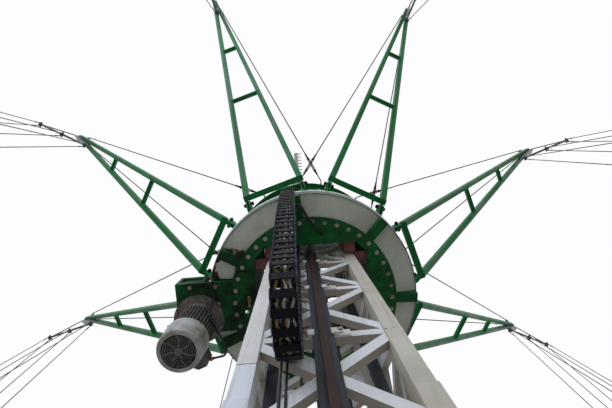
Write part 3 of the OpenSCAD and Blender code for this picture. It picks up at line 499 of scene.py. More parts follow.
@dataclass(frozen=True)
class GuideRail(Finish):
    """Cold-drawn guide rail: mill-grey base, and a head with rust-brown grease rubbed along it.

    Attributes:
        name: The material's name.
        base: The rail's foot.
        head: The rail's head.
        base_streak: The streaks along the foot.
        head_streak: The streaks along the head.
        head_half: Half the head's width, in millimetres.
    """

    name: str
    base: str
    head: str
    base_streak: str = "#40434a"
    head_streak: str = "#1c0e0c"
    head_half: float = 19.5

    def paint_on(self, tree: Tree, shader: bpy.types.Node) -> None:
        """Tells the head from the base by its distance from the mast's middle plane.

        Args:
            tree: The material's tree.
            shader: The shader that takes both.
        """
        off = add(tree, MATH, SIZE, {0: coordinate(tree, ACROSS)}).outputs[0]
        head = add(tree, MATH, BELOW, {0: off, 1: self.head_half * MM}).outputs[0]
        streak = blotches(tree, size=24, low=0.3, high=0.75, stretch=(1, 1, 0.03))
        foot = add(tree, MIX, COLOURS, {SHARE: streak, UNDER: self.base, OVER: self.base_streak})
        rubbed = add(tree, MIX, COLOURS, {SHARE: streak, UNDER: self.head, OVER: self.head_streak})
        colour = add(tree, MIX, COLOURS,
                     {SHARE: head, UNDER: foot.outputs[MIXED], OVER: rubbed.outputs[MIXED]}).outputs[MIXED]
        bump = add(tree, BUMP, {}, {"Height": streak, "Distance": 0.0008, "Strength": 0.4}).outputs[0]
        feed(tree, shader, {"Base Color": colour, "Normal": bump, "Metallic": 0.1, "Roughness": 0.55,
                            "Specular IOR Level": 0.3})


# Brushed enamel on the arms: deep green with lighter sunned patches, and dark brown rust along the chips
ARM_GREEN = BrushedEnamel(
    "arm_enamel", "#0b6a2e", "#148040", rust="#3f1712", rust_share=0.42, grime="#0b3a1c", grime_share=0.5,
    roughness=0.42, patch=300, coat=0.0, specular=0.2)
# The same enamel in the shade of the slew plate: darker, more worn, with near-black dirt streaks that are
# partly painted shade, and black round the drive with grease and painted shade of the motor
PLATE_GREEN = BrushedEnamel(
    "plate_enamel", "#0a5222", "#116b30", rust="#1a120d", rust_share=0.62, grime="#0a0d08",
    grime_share=0.85, roughness=0.45, patch=170, coat=0.0, specular=0.22, drive_grease_and_shade=(-1.0, 0.05, 4.9, 0.8))
# Enamel on rolled hollow bars: off-white, with a painted cool tint of sky light below the seam, and rust
# specks at the welds
MAST_WHITE = BrushedEnamel(
    "mast_enamel", "#ebe9e5", "#d9d4c9", rust="#8a6040", rust_share=0.12, grime="#8b7f68",
    grime_share=0.5, roughness=0.5, patch=900, coat=0.05, joints=(0.575, 0.7), seam=3.145,
    below="#e4eaf2")
# The legs on the right: a darker, dull cream with brown streaks
LEG_CREAM = BrushedEnamel(
    "leg_enamel", "#cfc9bb", "#bcb4a2", rust="#8a6040", rust_share=0.15, grime="#7d705a", grime_share=0.6,
    roughness=0.5, patch=500, coat=0.0, joints=(0.575, 0.7))
# The bracing's coat: near white, and tan on the faces that look down, which is painted shade with dust
BRACE_WHITE = BrushedEnamel(
    "brace_enamel", "#eff1f3", "#dcdcd8", rust="#8a6040", rust_share=0.12, grime="#8f8878",
    grime_share=0.5, roughness=0.5, patch=500, coat=0.0, joints=(0.575, 0.7), underside="#a89e8a")
# Sprayed enamel on the head's edge: clean bright white with a gloss
TRIM_WHITE = BrushedEnamel(
    "trim_enamel", "#fbfbfa", "#e9e9e6", rust_share=0.0, grime="#8f8b80", grime_share=0.25, roughness=0.3,
    coat=0.3)
# Enamel on the sheet covers: pale cream, chalky, with ragged rust where the paint lifts by a spoke
COVER_CREAM = BrushedEnamel(
    "cover_enamel", "#cdd0c0", "#b5b8a6", rust="#35200f", rust_share=0.2, roughness=0.5, grime="#6b6553",
    coat=0.05, zones=((-0.825, -0.35, 4.98, 0.125, 0.24), (-0.665, -0.47, 4.98, -1.0, 0.12)))
# Enamel on the motor's pressed cowl: mid grey with a brown cast from dirt
MOTOR_GREY = BrushedEnamel(
    "motor_enamel", "#b9b9b5", "#949282", rust="#2e2620", rust_share=0.3, grime="#4a463a",
    grime_share=0.6, roughness=0.5, patch=160, coat=0.0)
# Enamel on the motor's sand casting: darker, which is painted shade of the motor's underside and of the
# hollows between the fins, with dust and oil
MOTOR_CAST = BrushedEnamel(
    "motor_casting", "#74706a", "#5c554a", rust="#2e2620", rust_share=0.5, grime="#2c2822",
    grime_share=0.7, roughness=0.6, patch=120, coat=0.0)
# Enamel on the spreader bars: slate grey with little gloss
HANGER_GREY = BrushedEnamel(
    "hanger_enamel", "#60636b", "#4a4d54", rust_share=0.35, roughness=0.4, coat=0.1)
# Turned mild steel: silver grey, clouded with oil
BRIGHT_STEEL = BareSteel("turned_steel", "#9d9da0", "#4c4743")
# Zinc-plated bolts: pale, with a warm cast from rust that runs onto them
BOLT_STEEL = BareSteel("zinc_plated_bolts", "#b3a79d", "#6f5f55", film_share=0.5, roughness=0.45)
# Unplated pins: evenly rusted, dull red-brown
PIN_STEEL = BareSteel("rusted_pins", "#4a2f28", "#2a1512", film_share=0.6, roughness=0.6)
# Galvanised rope: dark grey wires with black grease in the lay
ROPE_WIRE = WireRope("galvanised_rope", "#4a4c52", "#17181b")
# Drawn rail: near black with oil, and a red-brown head
RAIL_STEEL = GuideRail("drawn_rail", "#212227", "#34100b")
# Glass-filled polyamide of the chain: matt black with bluish dust, and lighter grey on the outer side faces,
# a painted highlight with dust
CHAIN_PLASTIC = Moulded(
    "chain_polyamide", "#09090c", "#24232f", dust_share=0.4, roughness=0.6, specular=0.2, side="#4c4e5a",
    side_from=(-0.160, 0.0535))
# Extruded rubber sheath: black with a faint sheen
BLACK_RUBBER = Moulded("cable_sheath", "#131316", "#2b2b30", roughness=0.55)
# Extruded vinyl sheaths of the control cables: ochre and off-white
OCHRE_SHEATH = Moulded("ochre_sheath", "#a08552", "#6b5a3a", roughness=0.5)
PALE_SHEATH = Moulded("pale_sheath", "#d8d6cf", "#9a968a", roughness=0.5)
# Turned brass of the cable gland: dull gold
BRASS = BareSteel("brass_gland", "#a98a4e", "#5e4a2c", roughness=0.4)
# Oiled flat steel of the shoe frames: almost black
DARK_STEEL = BareSteel("oiled_frames", "#2a2622", "#15110f", film_share=0.7, roughness=0.6)
# Moulded pipe fitting: tan under dust
TAN_FITTING = Moulded("tan_fitting", "#8a6a3c", "#5c4426", roughness=0.5)
# Vinyl-coated foam of the seats: black with a coarse leather grain
CUSHION = Moulded("seat_cushion", "#17191c", "#34363a", roughness=0.55, grain=5)
# Woven-faced lining of the guide shoes: dusty pink, dull
PAD_LINING = Moulded("guide_lining", "#84504e", "#4e2624", dust_share=0.7, roughness=0.6, grain=6)
# Rotomoulded seat shell: bright green with a soft gloss
SEAT_PLASTIC = Moulded("seat_shell", "#1d7a3c", "#2f8f52", dust_share=0.3, roughness=0.3)

SLOT_FINISH: dict[str, Finish] = {
    "mast_white": MAST_WHITE, "rail_dark": RAIL_STEEL, "cable_black": BLACK_RUBBER,
    "bare_steel": BRIGHT_STEEL, "rope_steel": ROPE_WIRE, "plate_green": PLATE_GREEN,
    "arm_green": ARM_GREEN, "cover_cream": COVER_CREAM, "pad_pink": PAD_LINING, "motor_grey": MOTOR_GREY,
    "chain_black": CHAIN_PLASTIC, "hanger_grey": HANGER_GREY, "seat_green": SEAT_PLASTIC,
}
SLOT_OF = {row["node"]: row["material_slot"] for row in frame["record"]["subparts"]}


class Body(Enum):
    """The three bodies that pieces ride on."""

    TOWER = "tower"
    CARRIAGE = "carriage"
    ROTOR = "rotor"


def placed(name: str, data: bpy.types.ID) -> Object:
    """Puts an object that holds some data into the scene.

    Args:
        name: The object's name.
        data: Its mesh, camera or lamp.

    Returns:
        The new object.
    """
    made = bpy.data.objects.new(name, data)
    bpy.context.scene.collection.objects.link(made)
    return made


def ridden(mesh: Mesh, name: str, finish: Finish, body: Body, slot: str, *replaced: str) -> Object:
    """Makes a mesh a piece of the ride.

    Args:
        mesh: The mesh, in metres, in the ride's frame.
        name: The piece's name.
        finish: Its finish.
        body: The body that it rides on.
        slot: The record's material slot; not used.
        replaced: Construction nodes that it stands for.

    Returns:
        The new object.
    """
    LOG.info("%s: %d faces on the %s", name, len(mesh.polygons), body.value)
    made = placed(name, mesh)
    mesh.materials.clear()
    mesh.materials.append(finish.material())
    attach(made, body.value)
    if replaced:
        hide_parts(*replaced)
    return made


def eased(form: bmesh.types.BMesh, name: str, width: float, segments: int = 2, crease: float = 28) -> Mesh:
    """Breaks a form's sharp edges and turns it into a mesh.

    Args:
        form: The form, which is used up.
        name: Name of the new mesh.
        width: Width of the broken edge, in metres, or 0 for none.
        segments: Faces across a broken edge.
        crease: Angle in degrees above which an edge counts as sharp.

    Returns:
        The finished mesh.
    """
    if width:
        sharp = [e for e in form.edges if e.is_manifold and e.calc_face_angle() > math.radians(crease)]
        bmesh.ops.bevel(form, geom=sharp, offset=width, segments=segments, profile=0.5, affect="EDGES",
                        clamp_overlap=True)
    made = bpy.data.meshes.new(name)
    form.to_mesh(made)
    form.free()
    made.shade_smooth()
    made.set_sharp_from_angle(angle=math.radians(crease + 4))
    return made


def joined(node: str) -> bmesh.types.BMesh:
    """Copies a construction piece and merges the corners of its loose triangles.

    Args:
        node: The construction node.

    Returns:
        The merged form.
    """
    form = bmesh.new()
    form.from_mesh(frame["nodes"][node].data)
    bmesh.ops.remove_doubles(form, verts=form.verts, dist=1e-5)
    return form


def eased_copy(node: str, width: float) -> Mesh:
    """Copies a construction piece with its flat faces joined and its edges broken.

    Args:
        node: The construction node.
        width: Width of the broken edges, in metres.

    Returns:
        The new mesh.
    """
    form = joined(node)
    bmesh.ops.dissolve_limit(form, angle_limit=math.radians(1), verts=form.verts, edges=form.edges)
    return eased(form, node + "_eased", width)


def shade_marked_copy(node: str) -> Mesh:
    """Copies a construction piece and marks how far each of its faces looks down.

    Args:
        node: The construction node.

    Returns:
        The new mesh, with a face attribute from 0 to 1 that the painted shade on faces looking down reads.
    """
    mesh = frame["nodes"][node].data.copy()
    mesh.name = node + "_sheltered"
    mark = mesh.attributes.new("faces_down", "FLOAT", "FACE")
    mark.data.foreach_set("value", [max(0.0, -face.normal.z) for face in mesh.polygons])
    return mesh


class Form:
    """Collects simple shapes into one mesh, in metres, in the ride's frame."""

    def __init__(self) -> None:
        """Starts an empty form."""
        self.points: list[Vector] = []
        self.faces: list[tuple[int, ...]] = []
        self.uv: dict[tuple[int, ...], list[tuple[float, float]]] = {}

    def prism(self, outline: Sequence[Point], depth: float, place: Matrix) -> None:
        """Extrudes an outline.

        Args:
            outline: Points of the outline in the XY plane, counter-clockwise.
            depth: Length of the extrusion along local Z.
            place: Turns and moves the shape into the ride's frame.
        """
        start = len(self.points)
        count = len(outline)
        for z in (0.0, depth):
            self.points += [place @ Vector((p[0], p[1], z)) for p in outline]
        self.faces.append(tuple(start + i for i in reversed(range(count))))
        self.faces.append(tuple(start + count + i for i in range(count)))
        for i in range(count):
            j = (i + 1) % count
            self.faces.append((start + i, start + j, start + count + j, start + count + i))

    def block(self, low: Point, high: Point, place: Matrix | None = None) -> None:
        """Adds a block.

        Args:
            low: Its low corner.
            high: Its high corner.
            place: Turns and moves it into the ride's frame, where its corners aren't there yet.
        """
        outline = [(low[0], low[1]), (high[0], low[1]), (high[0], high[1]), (low[0], high[1])]
        base = Matrix.Translation((0, 0, low[2]))
        self.prism(outline, high[2] - low[2], (place or Matrix()) @ base)

    def lathe(self, profile: Sequence[Point], place: Matrix, steps: int = 20) -> None:
        """Turns a profile about local Z.

        Args:
            profile: Radius and height of each point, from the bottom up on the outside. A first or last
                radius of nought closes the shape there; otherwise the profile is closed into a ring.
            place: Turns and moves the shape into the ride's frame.
            steps: Steps round the axis.
        """
        ring = profile[0][0] > 0 and profile[-1][0] > 0
        rows: list[list[int]] = []
        for radius, height in profile:
            start = len(self.points)
            if radius == 0:
                self.points.append(place @ Vector((0, 0, height)))
                rows.append([start] * steps)
                continue
            for k in range(steps):
                angle = 2 * math.pi * k / steps
                spot = Vector((radius * math.cos(angle), radius * math.sin(angle), height))
                self.points.append(place @ spot)
            rows.append([start + k for k in range(steps)])
        pairs = list(zip(rows, rows[1:])) + ([(rows[-1], rows[0])] if ring else [])
        for lower, upper in pairs:
            for k in range(steps):
                j = (k + 1) % steps
                face = [lower[k], lower[j], upper[j], upper[k]]
                self.faces.append(tuple(dict.fromkeys(face)))

    def tube(self, path: Sequence[Point], radius: float, sides: int = 8) -> None:
        """Sweeps a round section along a path, with a UV map that goes round and along it.

        Args:
            path: Points of the middle line.
            radius: Radius of the section.
            sides: Sides of the section.
        """
        line = [Vector(p) for p in path]
        count = len(line)
        side = (line[1] - line[0]).orthogonal().normalized()
        start, run = len(self.points), 0.0
        runs: list[float] = []
        for i, at in enumerate(line):
            ahead = (line[min(i + 1, count - 1)] - line[max(i - 1, 0)]).normalized()
            side = (side - ahead * side.dot(ahead)).normalized()
            up = ahead.cross(side)
            for k in range(sides):
                angle = 2 * math.pi * k / sides
                self.points.append(at + radius * (side * math.cos(angle) + up * math.sin(angle)))
            run += (at - line[i - 1]).length if i else 0.0
            runs.append(run)
        for i in range(count - 1):
            a, b = start + i * sides, start + (i + 1) * sides
            for k in range(sides):
                j = (k + 1) % sides
                face = (a + k, a + j, b + j, b + k)
                u, w = k / sides, (k + 1) / sides
                self.uv[face] = [(u, runs[i]), (w, runs[i]), (w, runs[i + 1]), (u, runs[i + 1])]
                self.faces.append(face)
        end = start + (count - 1) * sides
        self.faces.append(tuple(start + k for k in reversed(range(sides))))
        self.faces.append(tuple(end + k for k in range(sides)))

    def mesh(self, name: str, width: float = 0.0, segments: int = 2, crease: float = 32) -> Mesh:
        """Joins the shapes into one mesh.

        Args:
            name: Name of the mesh.
            width: Width of broken edges, in metres, or 0.
            segments: Faces across a broken edge.
            crease: Angle in degrees above which an edge is sharp.

        Returns:
            The mesh, with outward normals and a UV map where tubes were swept.
        """
        made = bpy.data.meshes.new(name)
        made.from_pydata([tuple(p) for p in self.points], [], self.faces)
        if self.uv:
            layer = made.uv_layers.new(name="along")
            for polygon, face in zip(made.polygons, self.faces):
                for corner, value in zip(polygon.loop_indices, self.uv.get(face, [])):
                    layer.data[corner].uv = value
        form = bmesh.new()
        form.from_mesh(made)
        bmesh.ops.recalc_face_normals(form, faces=form.faces)
        bpy.data.meshes.remove(made)
        return eased(form, name, width, segments, crease)

    def piece(self, name: str, finish: Finish, body: Body, slot: str, *replaced: str, width: float = 0.0,
              segments: int = 1) -> Object:
        """Makes the shapes a piece of the ride.

        Args:
            name: The piece's name.
            finish: Its finish.
            body: The body that it rides on.
            slot: The record's material slot.
            replaced: Construction nodes that it stands for.
            width: Width of broken edges, in metres, or 0.
            segments: Faces across a broken edge.

        Returns:
            The new object.
        """
        return ridden(self.mesh(name, width, segments), name, finish, body, slot, *replaced)


def stand(at: Point, ahead: Point) -> Matrix:
    """Places a shape at a point, with its Z axis along a direction.

    Args:
        at: The point.
        ahead: The direction of the shape's Z axis.

    Returns:
        The placing matrix.
    """
    return Matrix.Translation(Vector(at)) @ Vector(ahead).to_track_quat("Z", "Y").to_matrix().to_4x4()


def turned(degrees: float) -> Matrix:
    """Returns a turn about the ride's upright axis."""
    return Matrix.Rotation(math.radians(degrees), 4, "Z")


class Recipe:
    """A Geometry Nodes tree with named inputs, built once in the script."""

    def __init__(self, title: str, inputs: dict[str, tuple[str, object]]) -> None:
        """Opens the tree.

        Args:
            title: Name of the tree.
            inputs: Socket type and default value of each named input.
        """
        self.tree = bpy.data.node_groups.new(title, "GeometryNodeTree")
        for way in ("INPUT", "OUTPUT"):
            self.tree.interface.new_socket("Geometry", in_out=way, socket_type="NodeSocketGeometry")
        self.sockets = {}
        for name, (kind, value) in inputs.items():
            socket = self.tree.interface.new_socket(name, in_out="INPUT", socket_type=kind)
            if value is not None:
                socket.default_value = value
            self.sockets[name] = socket
        self.given = add(self.tree, "NodeGroupInput").outputs

    def close(self, geometry: Socket) -> None:
        """Ends the tree in Realize Instances and Set Material.

        Args:
            geometry: The instances that the tree makes.
        """
        real = add(self.tree, "GeometryNodeRealizeInstances", {}, {"Geometry": geometry}).outputs[0]
        dressed = add(self.tree, "GeometryNodeSetMaterial", {},
                      {"Geometry": real, "Material": self.given["Material"]}).outputs[0]
        add(self.tree, "NodeGroupOutput", {}, {0: dressed})

    def cook(self, host: Mesh, name: str, values: dict[str, object]) -> Mesh:
        """Runs the tree on a host mesh.

        Args:
            host: The mesh that carries the points or the path, which is used up.
            name: Name of the result.
            values: Values of the named inputs.

        Returns:
            A plain mesh.
        """
        holder = placed(name + "_host", host)
        modifier = holder.modifiers.new("recipe", "NODES")
        modifier.node_group = self.tree
        for key, value in values.items():
            modifier[self.sockets[key].identifier] = value
        graph = bpy.context.evaluated_depsgraph_get()
        graph.update()
        made = bpy.data.meshes.new_from_object(holder.evaluated_get(graph))
        made.name = name
        holder.modifiers.remove(modifier)
        bpy.data.objects.remove(holder)
        bpy.data.meshes.remove(host)
        return made


class BoltRecipe(Recipe):
    """Hexagon bolts: a head, a washer and a stud end on every point of a field, along its axis attribute."""

    def __init__(self) -> None:
        """Builds the tree."""
        sizes = {"Head": 0.02, "Head height": 0.01, "Washer": 0.023, "Washer height": 0.003, "Stud": 0.01,
                 "Stud height": 0.02}
        super().__init__("hexagon_bolts", {
            **{name: ("NodeSocketFloat", size) for name, size in sizes.items()},
            "Material": ("NodeSocketMaterial", None)})
        tree, given = self.tree, self.given
        bolt = add(tree, "GeometryNodeJoinGeometry")
        for name, sides in (("Washer", 14), ("Head", 6), ("Stud", 8)):
            height = given[name + " height"]
            drum = add(tree, "GeometryNodeMeshCylinder", {},
                       {"Vertices": sides, "Radius": given[name], "Depth": height}).outputs["Mesh"]
            half = add(tree, MATH, TIMES, {0: height, 1: 0.5}).outputs[0]
            up = add(tree, "ShaderNodeCombineXYZ", {}, {"Z": half}).outputs[0]
            part = add(tree, "GeometryNodeTransform", {}, {"Geometry": drum, "Translation": up}).outputs[0]
            tree.links.new(part, bolt.inputs[0])
        axis = add(tree, "GeometryNodeInputNamedAttribute", {"data_type": "FLOAT_VECTOR"}, {"Name": "axis"})
        turn = add(tree, "FunctionNodeAlignRotationToVector", {"axis": "Z"},
                   {"Vector": axis.outputs[0]}).outputs[0]
        bolts = add(tree, "GeometryNodeInstanceOnPoints", {},
                    {"Points": given["Geometry"], "Instance": bolt.outputs[0], "Rotation": turn}).outputs[0]
        self.close(bolts)


class LinkRecipe(Recipe):
    """Chain links: one link after another along a path in the plane across the chain's pins."""

    def __init__(self) -> None:
        """Builds the tree."""
        super().__init__("chain_links", {
            "Pitch": ("NodeSocketFloat", 0.06), "Link": ("NodeSocketObject", None),
            "Material": ("NodeSocketMaterial", None)})
        tree, given = self.tree, self.given
        curve = add(tree, "GeometryNodeMeshToCurve", {}, {"Mesh": given["Geometry"]}).outputs[0]
        steps = add(tree, "GeometryNodeCurveToPoints", {"mode": "LENGTH"},
                    {"Curve": curve, "Length": given["Pitch"]}).outputs
        turn = add(tree, "FunctionNodeAlignRotationToVector", {"axis": "Z", "pivot_axis": "X"},
                   {"Vector": steps["Tangent"]}).outputs[0]
        link = add(tree, "GeometryNodeObjectInfo", {}, {"Object": given["Link"]}).outputs["Geometry"]
        links = add(tree, "GeometryNodeInstanceOnPoints", {},
                    {"Points": steps["Points"], "Instance": link, "Rotation": turn}).outputs[0]
        self.close(links)


@dataclass
class BoltField:
    """A set of like bolts: where they sit and which way their heads look.

    Attributes:
        head: Radius of the head.
        washer: Radius of the washer.
        stud: Radius of the stud end, as a share of the head's.
        head_height: Height of the head, as a share of its radius.
        washer_height: Height of the washer, as a share of the head's radius.
        spots: Place and axis of each bolt.
    """

    head: float
    washer: float
    stud: float = 0.45
    head_height: float = 0.7
    washer_height: float = 0.12
    spots: list[tuple[Vector, Vector]] = field(default_factory=list)

    def at(self, spot: Point, axis: Point, place: Matrix | None = None) -> None:
        """Adds a bolt.

        Args:
            spot: Where it sits.
            axis: The way that its head stands out.
            place: Turns and moves both, where they aren't in the ride's frame yet.
        """
        place = place or Matrix()
        self.spots.append((place @ Vector(spot), (place.to_3x3() @ Vector(axis)).normalized()))

    def make(self, recipe: BoltRecipe, name: str, finish: Finish, body: Body) -> Object:
        """Sets the bolts.

        Args:
            recipe: The tree that makes them.
            name: The piece's name.
            finish: Their finish.
            body: The body that carries them.

        Returns:
            The piece.
        """
        host = bpy.data.meshes.new(name + "_spots")
        host.from_pydata([tuple(spot) for spot, _ in self.spots], [], [])
        axis = host.attributes.new("axis", "FLOAT_VECTOR", "POINT")
        axis.data.foreach_set("vector", [c for _, way in self.spots for c in way])
        height = self.head * self.head_height
        mesh = recipe.cook(host, name, {
            "Head": self.head, "Head height": height + 0.1 * self.head, "Washer": self.washer,
            "Washer height": self.washer_height * self.head, "Stud": self.head * self.stud,
            "Stud height": height * 1.5, "Material": finish.material()})
        return ridden(mesh, name, finish, body, "bare_steel")


def islands(node: str) -> list[list[Vector]]:
    """Splits a construction node into its separate solids.

    Args:
        node: The construction node.

    Returns:
        The points of each solid.
    """
    form = joined(node)
    seen, found = set(), []
    for start in form.verts:
        if start in seen:
            continue
        seen.add(start)
        queue, solid = [start], [start.co.copy()]
        while queue:
            for edge in queue.pop().link_edges:
                for vert in edge.verts:
                    if vert not in seen:
                        seen.add(vert)
                        queue.append(vert)
                        solid.append(vert.co.copy())
        found.append(solid)
    form.free()
    return found


def corners(solid: list[Vector]) -> tuple[Vector, Vector]:
    """Returns the low and high corner of a solid's box."""
    return tuple(Vector([pick(p[i] for p in solid) for i in range(3)]) for pick in (min, max))


def rod_of(solid: list[Vector]) -> tuple[Vector, Vector, float]:
    """Finds the middle line of a straight rod.

    Args:
        solid: The rod's points.

    Returns:
        Its two ends and its radius.
    """
    end_zone = 0.02
    far = max(solid, key=lambda p: (p - solid[0]).length)
    other = max(solid, key=lambda p: (p - far).length)
    along = (other - far).normalized()
    ends = []
    for end in (far, other):
        near = [p for p in solid if abs((p - end).dot(along)) < end_zone]
        ends.append(sum(near, Vector()) / len(near))
    first = [p - ends[0] for p in solid if abs((p - ends[0]).dot(along)) < end_zone]
    return ends[0], ends[1], max(off.cross(along).length for off in first)


def smoothed(points: Sequence[Point], steps: int = 6) -> list[Vector]:
    """Rounds a route through its points, in metres.

    Args:
        points: The route's points, in millimetres.
        steps: Pieces between two points.

    Returns:
        Points of a curve through them all.
    """
    route = [Vector(p) * MM for p in points]
    curve = []
    for i in range(len(route) - 1):
        a, b = route[max(i - 1, 0)], route[i]
        c, d = route[i + 1], route[min(i + 2, len(route) - 1)]
        for k in range(steps):
            t = k / steps
            curve.append(0.5 * (2 * b + (c - a) * t + (2 * a - 5 * b + 4 * c - d) * t * t
                                + (3 * b - a - 3 * c + d) * t ** 3))
    return curve + [route[-1]]


@dataclass
class Layout:
    """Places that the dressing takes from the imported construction, in metres.

    Attributes:
        mast_half: Distance from the mast's middle to the outer face of its legs.
        plate_z: Height of the slew plate's underside.
        head_turn: Turn of the first gap between arms from +X, in degrees.
        arms: Arms of the turning head.
    """

    mast_half: float
    plate_z: float
    head_turn: float = 5.95
    arms: int = 8

    @classmethod
    def read(cls) -> "Layout":
        """Reads the places from the construction's boxes."""
        proud = 0.012
        return cls(mast_half=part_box("brace_right")[1].x + proud, plate_z=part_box("slew_plate")[0].z)

    def arm(self, number: int) -> Matrix:
        """Returns the turn that brings +X to an arm's direction, counted from 1."""
        return turned(self.head_turn + 360 / self.arms * (number - 0.5))


@dataclass
class Assembly:
    """A part of the ride that takes its places from the construction and its bolts from one tree.

    Attributes:
        layout: The places.
        bolts: The tree.
    """

    layout: Layout
    bolts: BoltRecipe

    def build(self) -> None:
        """Makes the part's pieces."""
        raise NotImplementedError


@dataclass
class Studio:
    """Pale floor, soft daylight and the camera at the photograph's place.

    Attributes:
        eye: The camera's place, 1.6 m above the ground.
        look: The camera's turn, in degrees.
        lens: Its focal length, in millimetres.
        daylight: Strength of the sky on the ride.
        panel: Power of the front panel, in watts.
        panel_size: Its width.
        panel_at: The panel's place.
        panel_aim: The point that it faces.
        floor_half: Half the floor's width.
    """

    eye: Point = (-0.0685, -1.2684, 1.6)
    look: Point = (174.2307, 1.5119, 4.374)
    lens: float = 21.182
    daylight: float = 0.62
    panel: float = 900.0
    panel_size: float = 9.0
    panel_at: Point = (-5.0, -13.0, 8.0)
    panel_aim: Point = (0, 0, 3.0)
    floor_half: float = 60.0

    def camera(self) -> None:
        """Sets the camera near the ride's foot, looking up the mast."""
        data = bpy.data.cameras.new("eye")
        data.sensor_width, data.lens = 36, self.lens
        data.clip_end = 400
        camera = placed("eye", data)
        camera.location = self.eye
        camera.rotation_euler = [math.radians(a) for a in self.look]
        bpy.context.scene.camera = camera

    def sky(self) -> None:
        """Lights the ride from an even pale sky that shows white to the camera and in reflections."""
        world = bpy.data.worlds.new("overcast")
        bpy.context.scene.world = world
        world.use_nodes = True
        tree = world.node_tree
        tree.nodes.clear()
        path = add(tree, "ShaderNodeLightPath").outputs
        shown = path["Is Camera Ray"]
        for ray in ("Is Glossy Ray", "Is Transmission Ray"):
            shown = add(tree, MATH, LARGER, {0: shown, 1: path[ray]}).outputs[0]
        light = add(tree, "ShaderNodeBackground", {}, {"Color": "#f4f7ff", "Strength": self.daylight})
        white = add(tree, "ShaderNodeBackground", {}, {"Color": "#fdfdff", "Strength": 1.0})
        both = add(tree, "ShaderNodeMixShader", {}, {0: shown, 1: light.outputs[0], 2: white.outputs[0]})
        add(tree, "ShaderNodeOutputWorld", {}, {"Surface": both.outputs[0]})

    def floor(self) -> None:
        """Lays a plain pale floor under the ride."""
        form = bmesh.new()
        bmesh.ops.create_grid(form, x_segments=8, y_segments=8, size=self.floor_half)
        mesh = bpy.data.meshes.new("floor")
        form.to_mesh(mesh)
        form.free()
        # Swept concrete: pale warm grey, quite matt
        material = bpy.data.materials.new("pale_floor")
        material.use_nodes = True
        shader = material.node_tree.nodes["Principled BSDF"]
        feed(material.node_tree, shader, {"Base Color": "#a9a7a2", "Roughness": 0.9})
        mesh.materials.append(material)
        placed("floor", mesh)

    def front_light(self) -> None:
        """Hangs a wide cool panel before the ride, for the bright side of an overcast sky."""
        data = bpy.data.lights.new("front_panel", "AREA")
        data.energy, data.size = self.panel, self.panel_size
        data.color = linear("#e2ebff")[:3]
        light = placed("front_panel", data)
        light.location = self.panel_at
        light.rotation_euler = (Vector(self.panel_aim) - light.location).to_track_quat("-Z", "Y").to_euler()
        light.visible_camera = False

    def build(self) -> None:
        """Sets up camera, sky, panel and floor."""
        self.camera()
        self.sky()
        self.front_light()
        self.floor()


@dataclass
class Steelwork:
    """Gives every construction piece its finish, with broken edges on the bars and plates that show them.

    Attributes:
        own: Pieces with a finish that their slot's other pieces haven't.
        edges: Width of the broken edges of the pieces that have them.
    """

    own: dict[str, Finish] = field(default_factory=lambda: {
        "leg_front_right": LEG_CREAM, "leg_back_right": LEG_CREAM})
    edges: dict[str, float] = field(default_factory=lambda: {
        **{f"leg_{end}_{side}": 0.008 for end in ("front", "back") for side in ("left", "right")},
        "drive_housing": 0.006, "head_frame": 0.005, "service_jib": 0.006, "rail_clamps": 0.002,
        "hub_columns": 0.004, "cover_spokes": 0.004, "chain_bracket": 0.004, "base_flange": 0.004,
        "arm_lugs": 0.002, **{f"{kind}_{i}": 0.006 for kind in ("arm", "seat") for i in range(1, 9)}})

    def build(self) -> None:
        """Dresses every node, and replaces bars and plates with copies that have broken edges, or painted
        shade with dust on faces that look down.
        """
        body_of = {n: Body(b) for b, ns in frame["record"]["behaviour"]["bodies"].items() for n in ns}
        for node, obj in frame["nodes"].items():
            finish = self.own.get(node, SLOT_FINISH[SLOT_OF[node]])
            obj.data.materials.clear()
            obj.data.materials.append(finish.material())
            if node in self.edges:
                mesh = eased_copy(node, self.edges[node])
                ridden(mesh, node + "_bar", finish, body_of[node], SLOT_OF[node], node)
            # The bracing's faces that look down get painted shade with dust
            if node.startswith("brace_"):
                ridden(shade_marked_copy(node), node + "_bars", BRACE_WHITE, body_of[node], SLOT_OF[node], node)


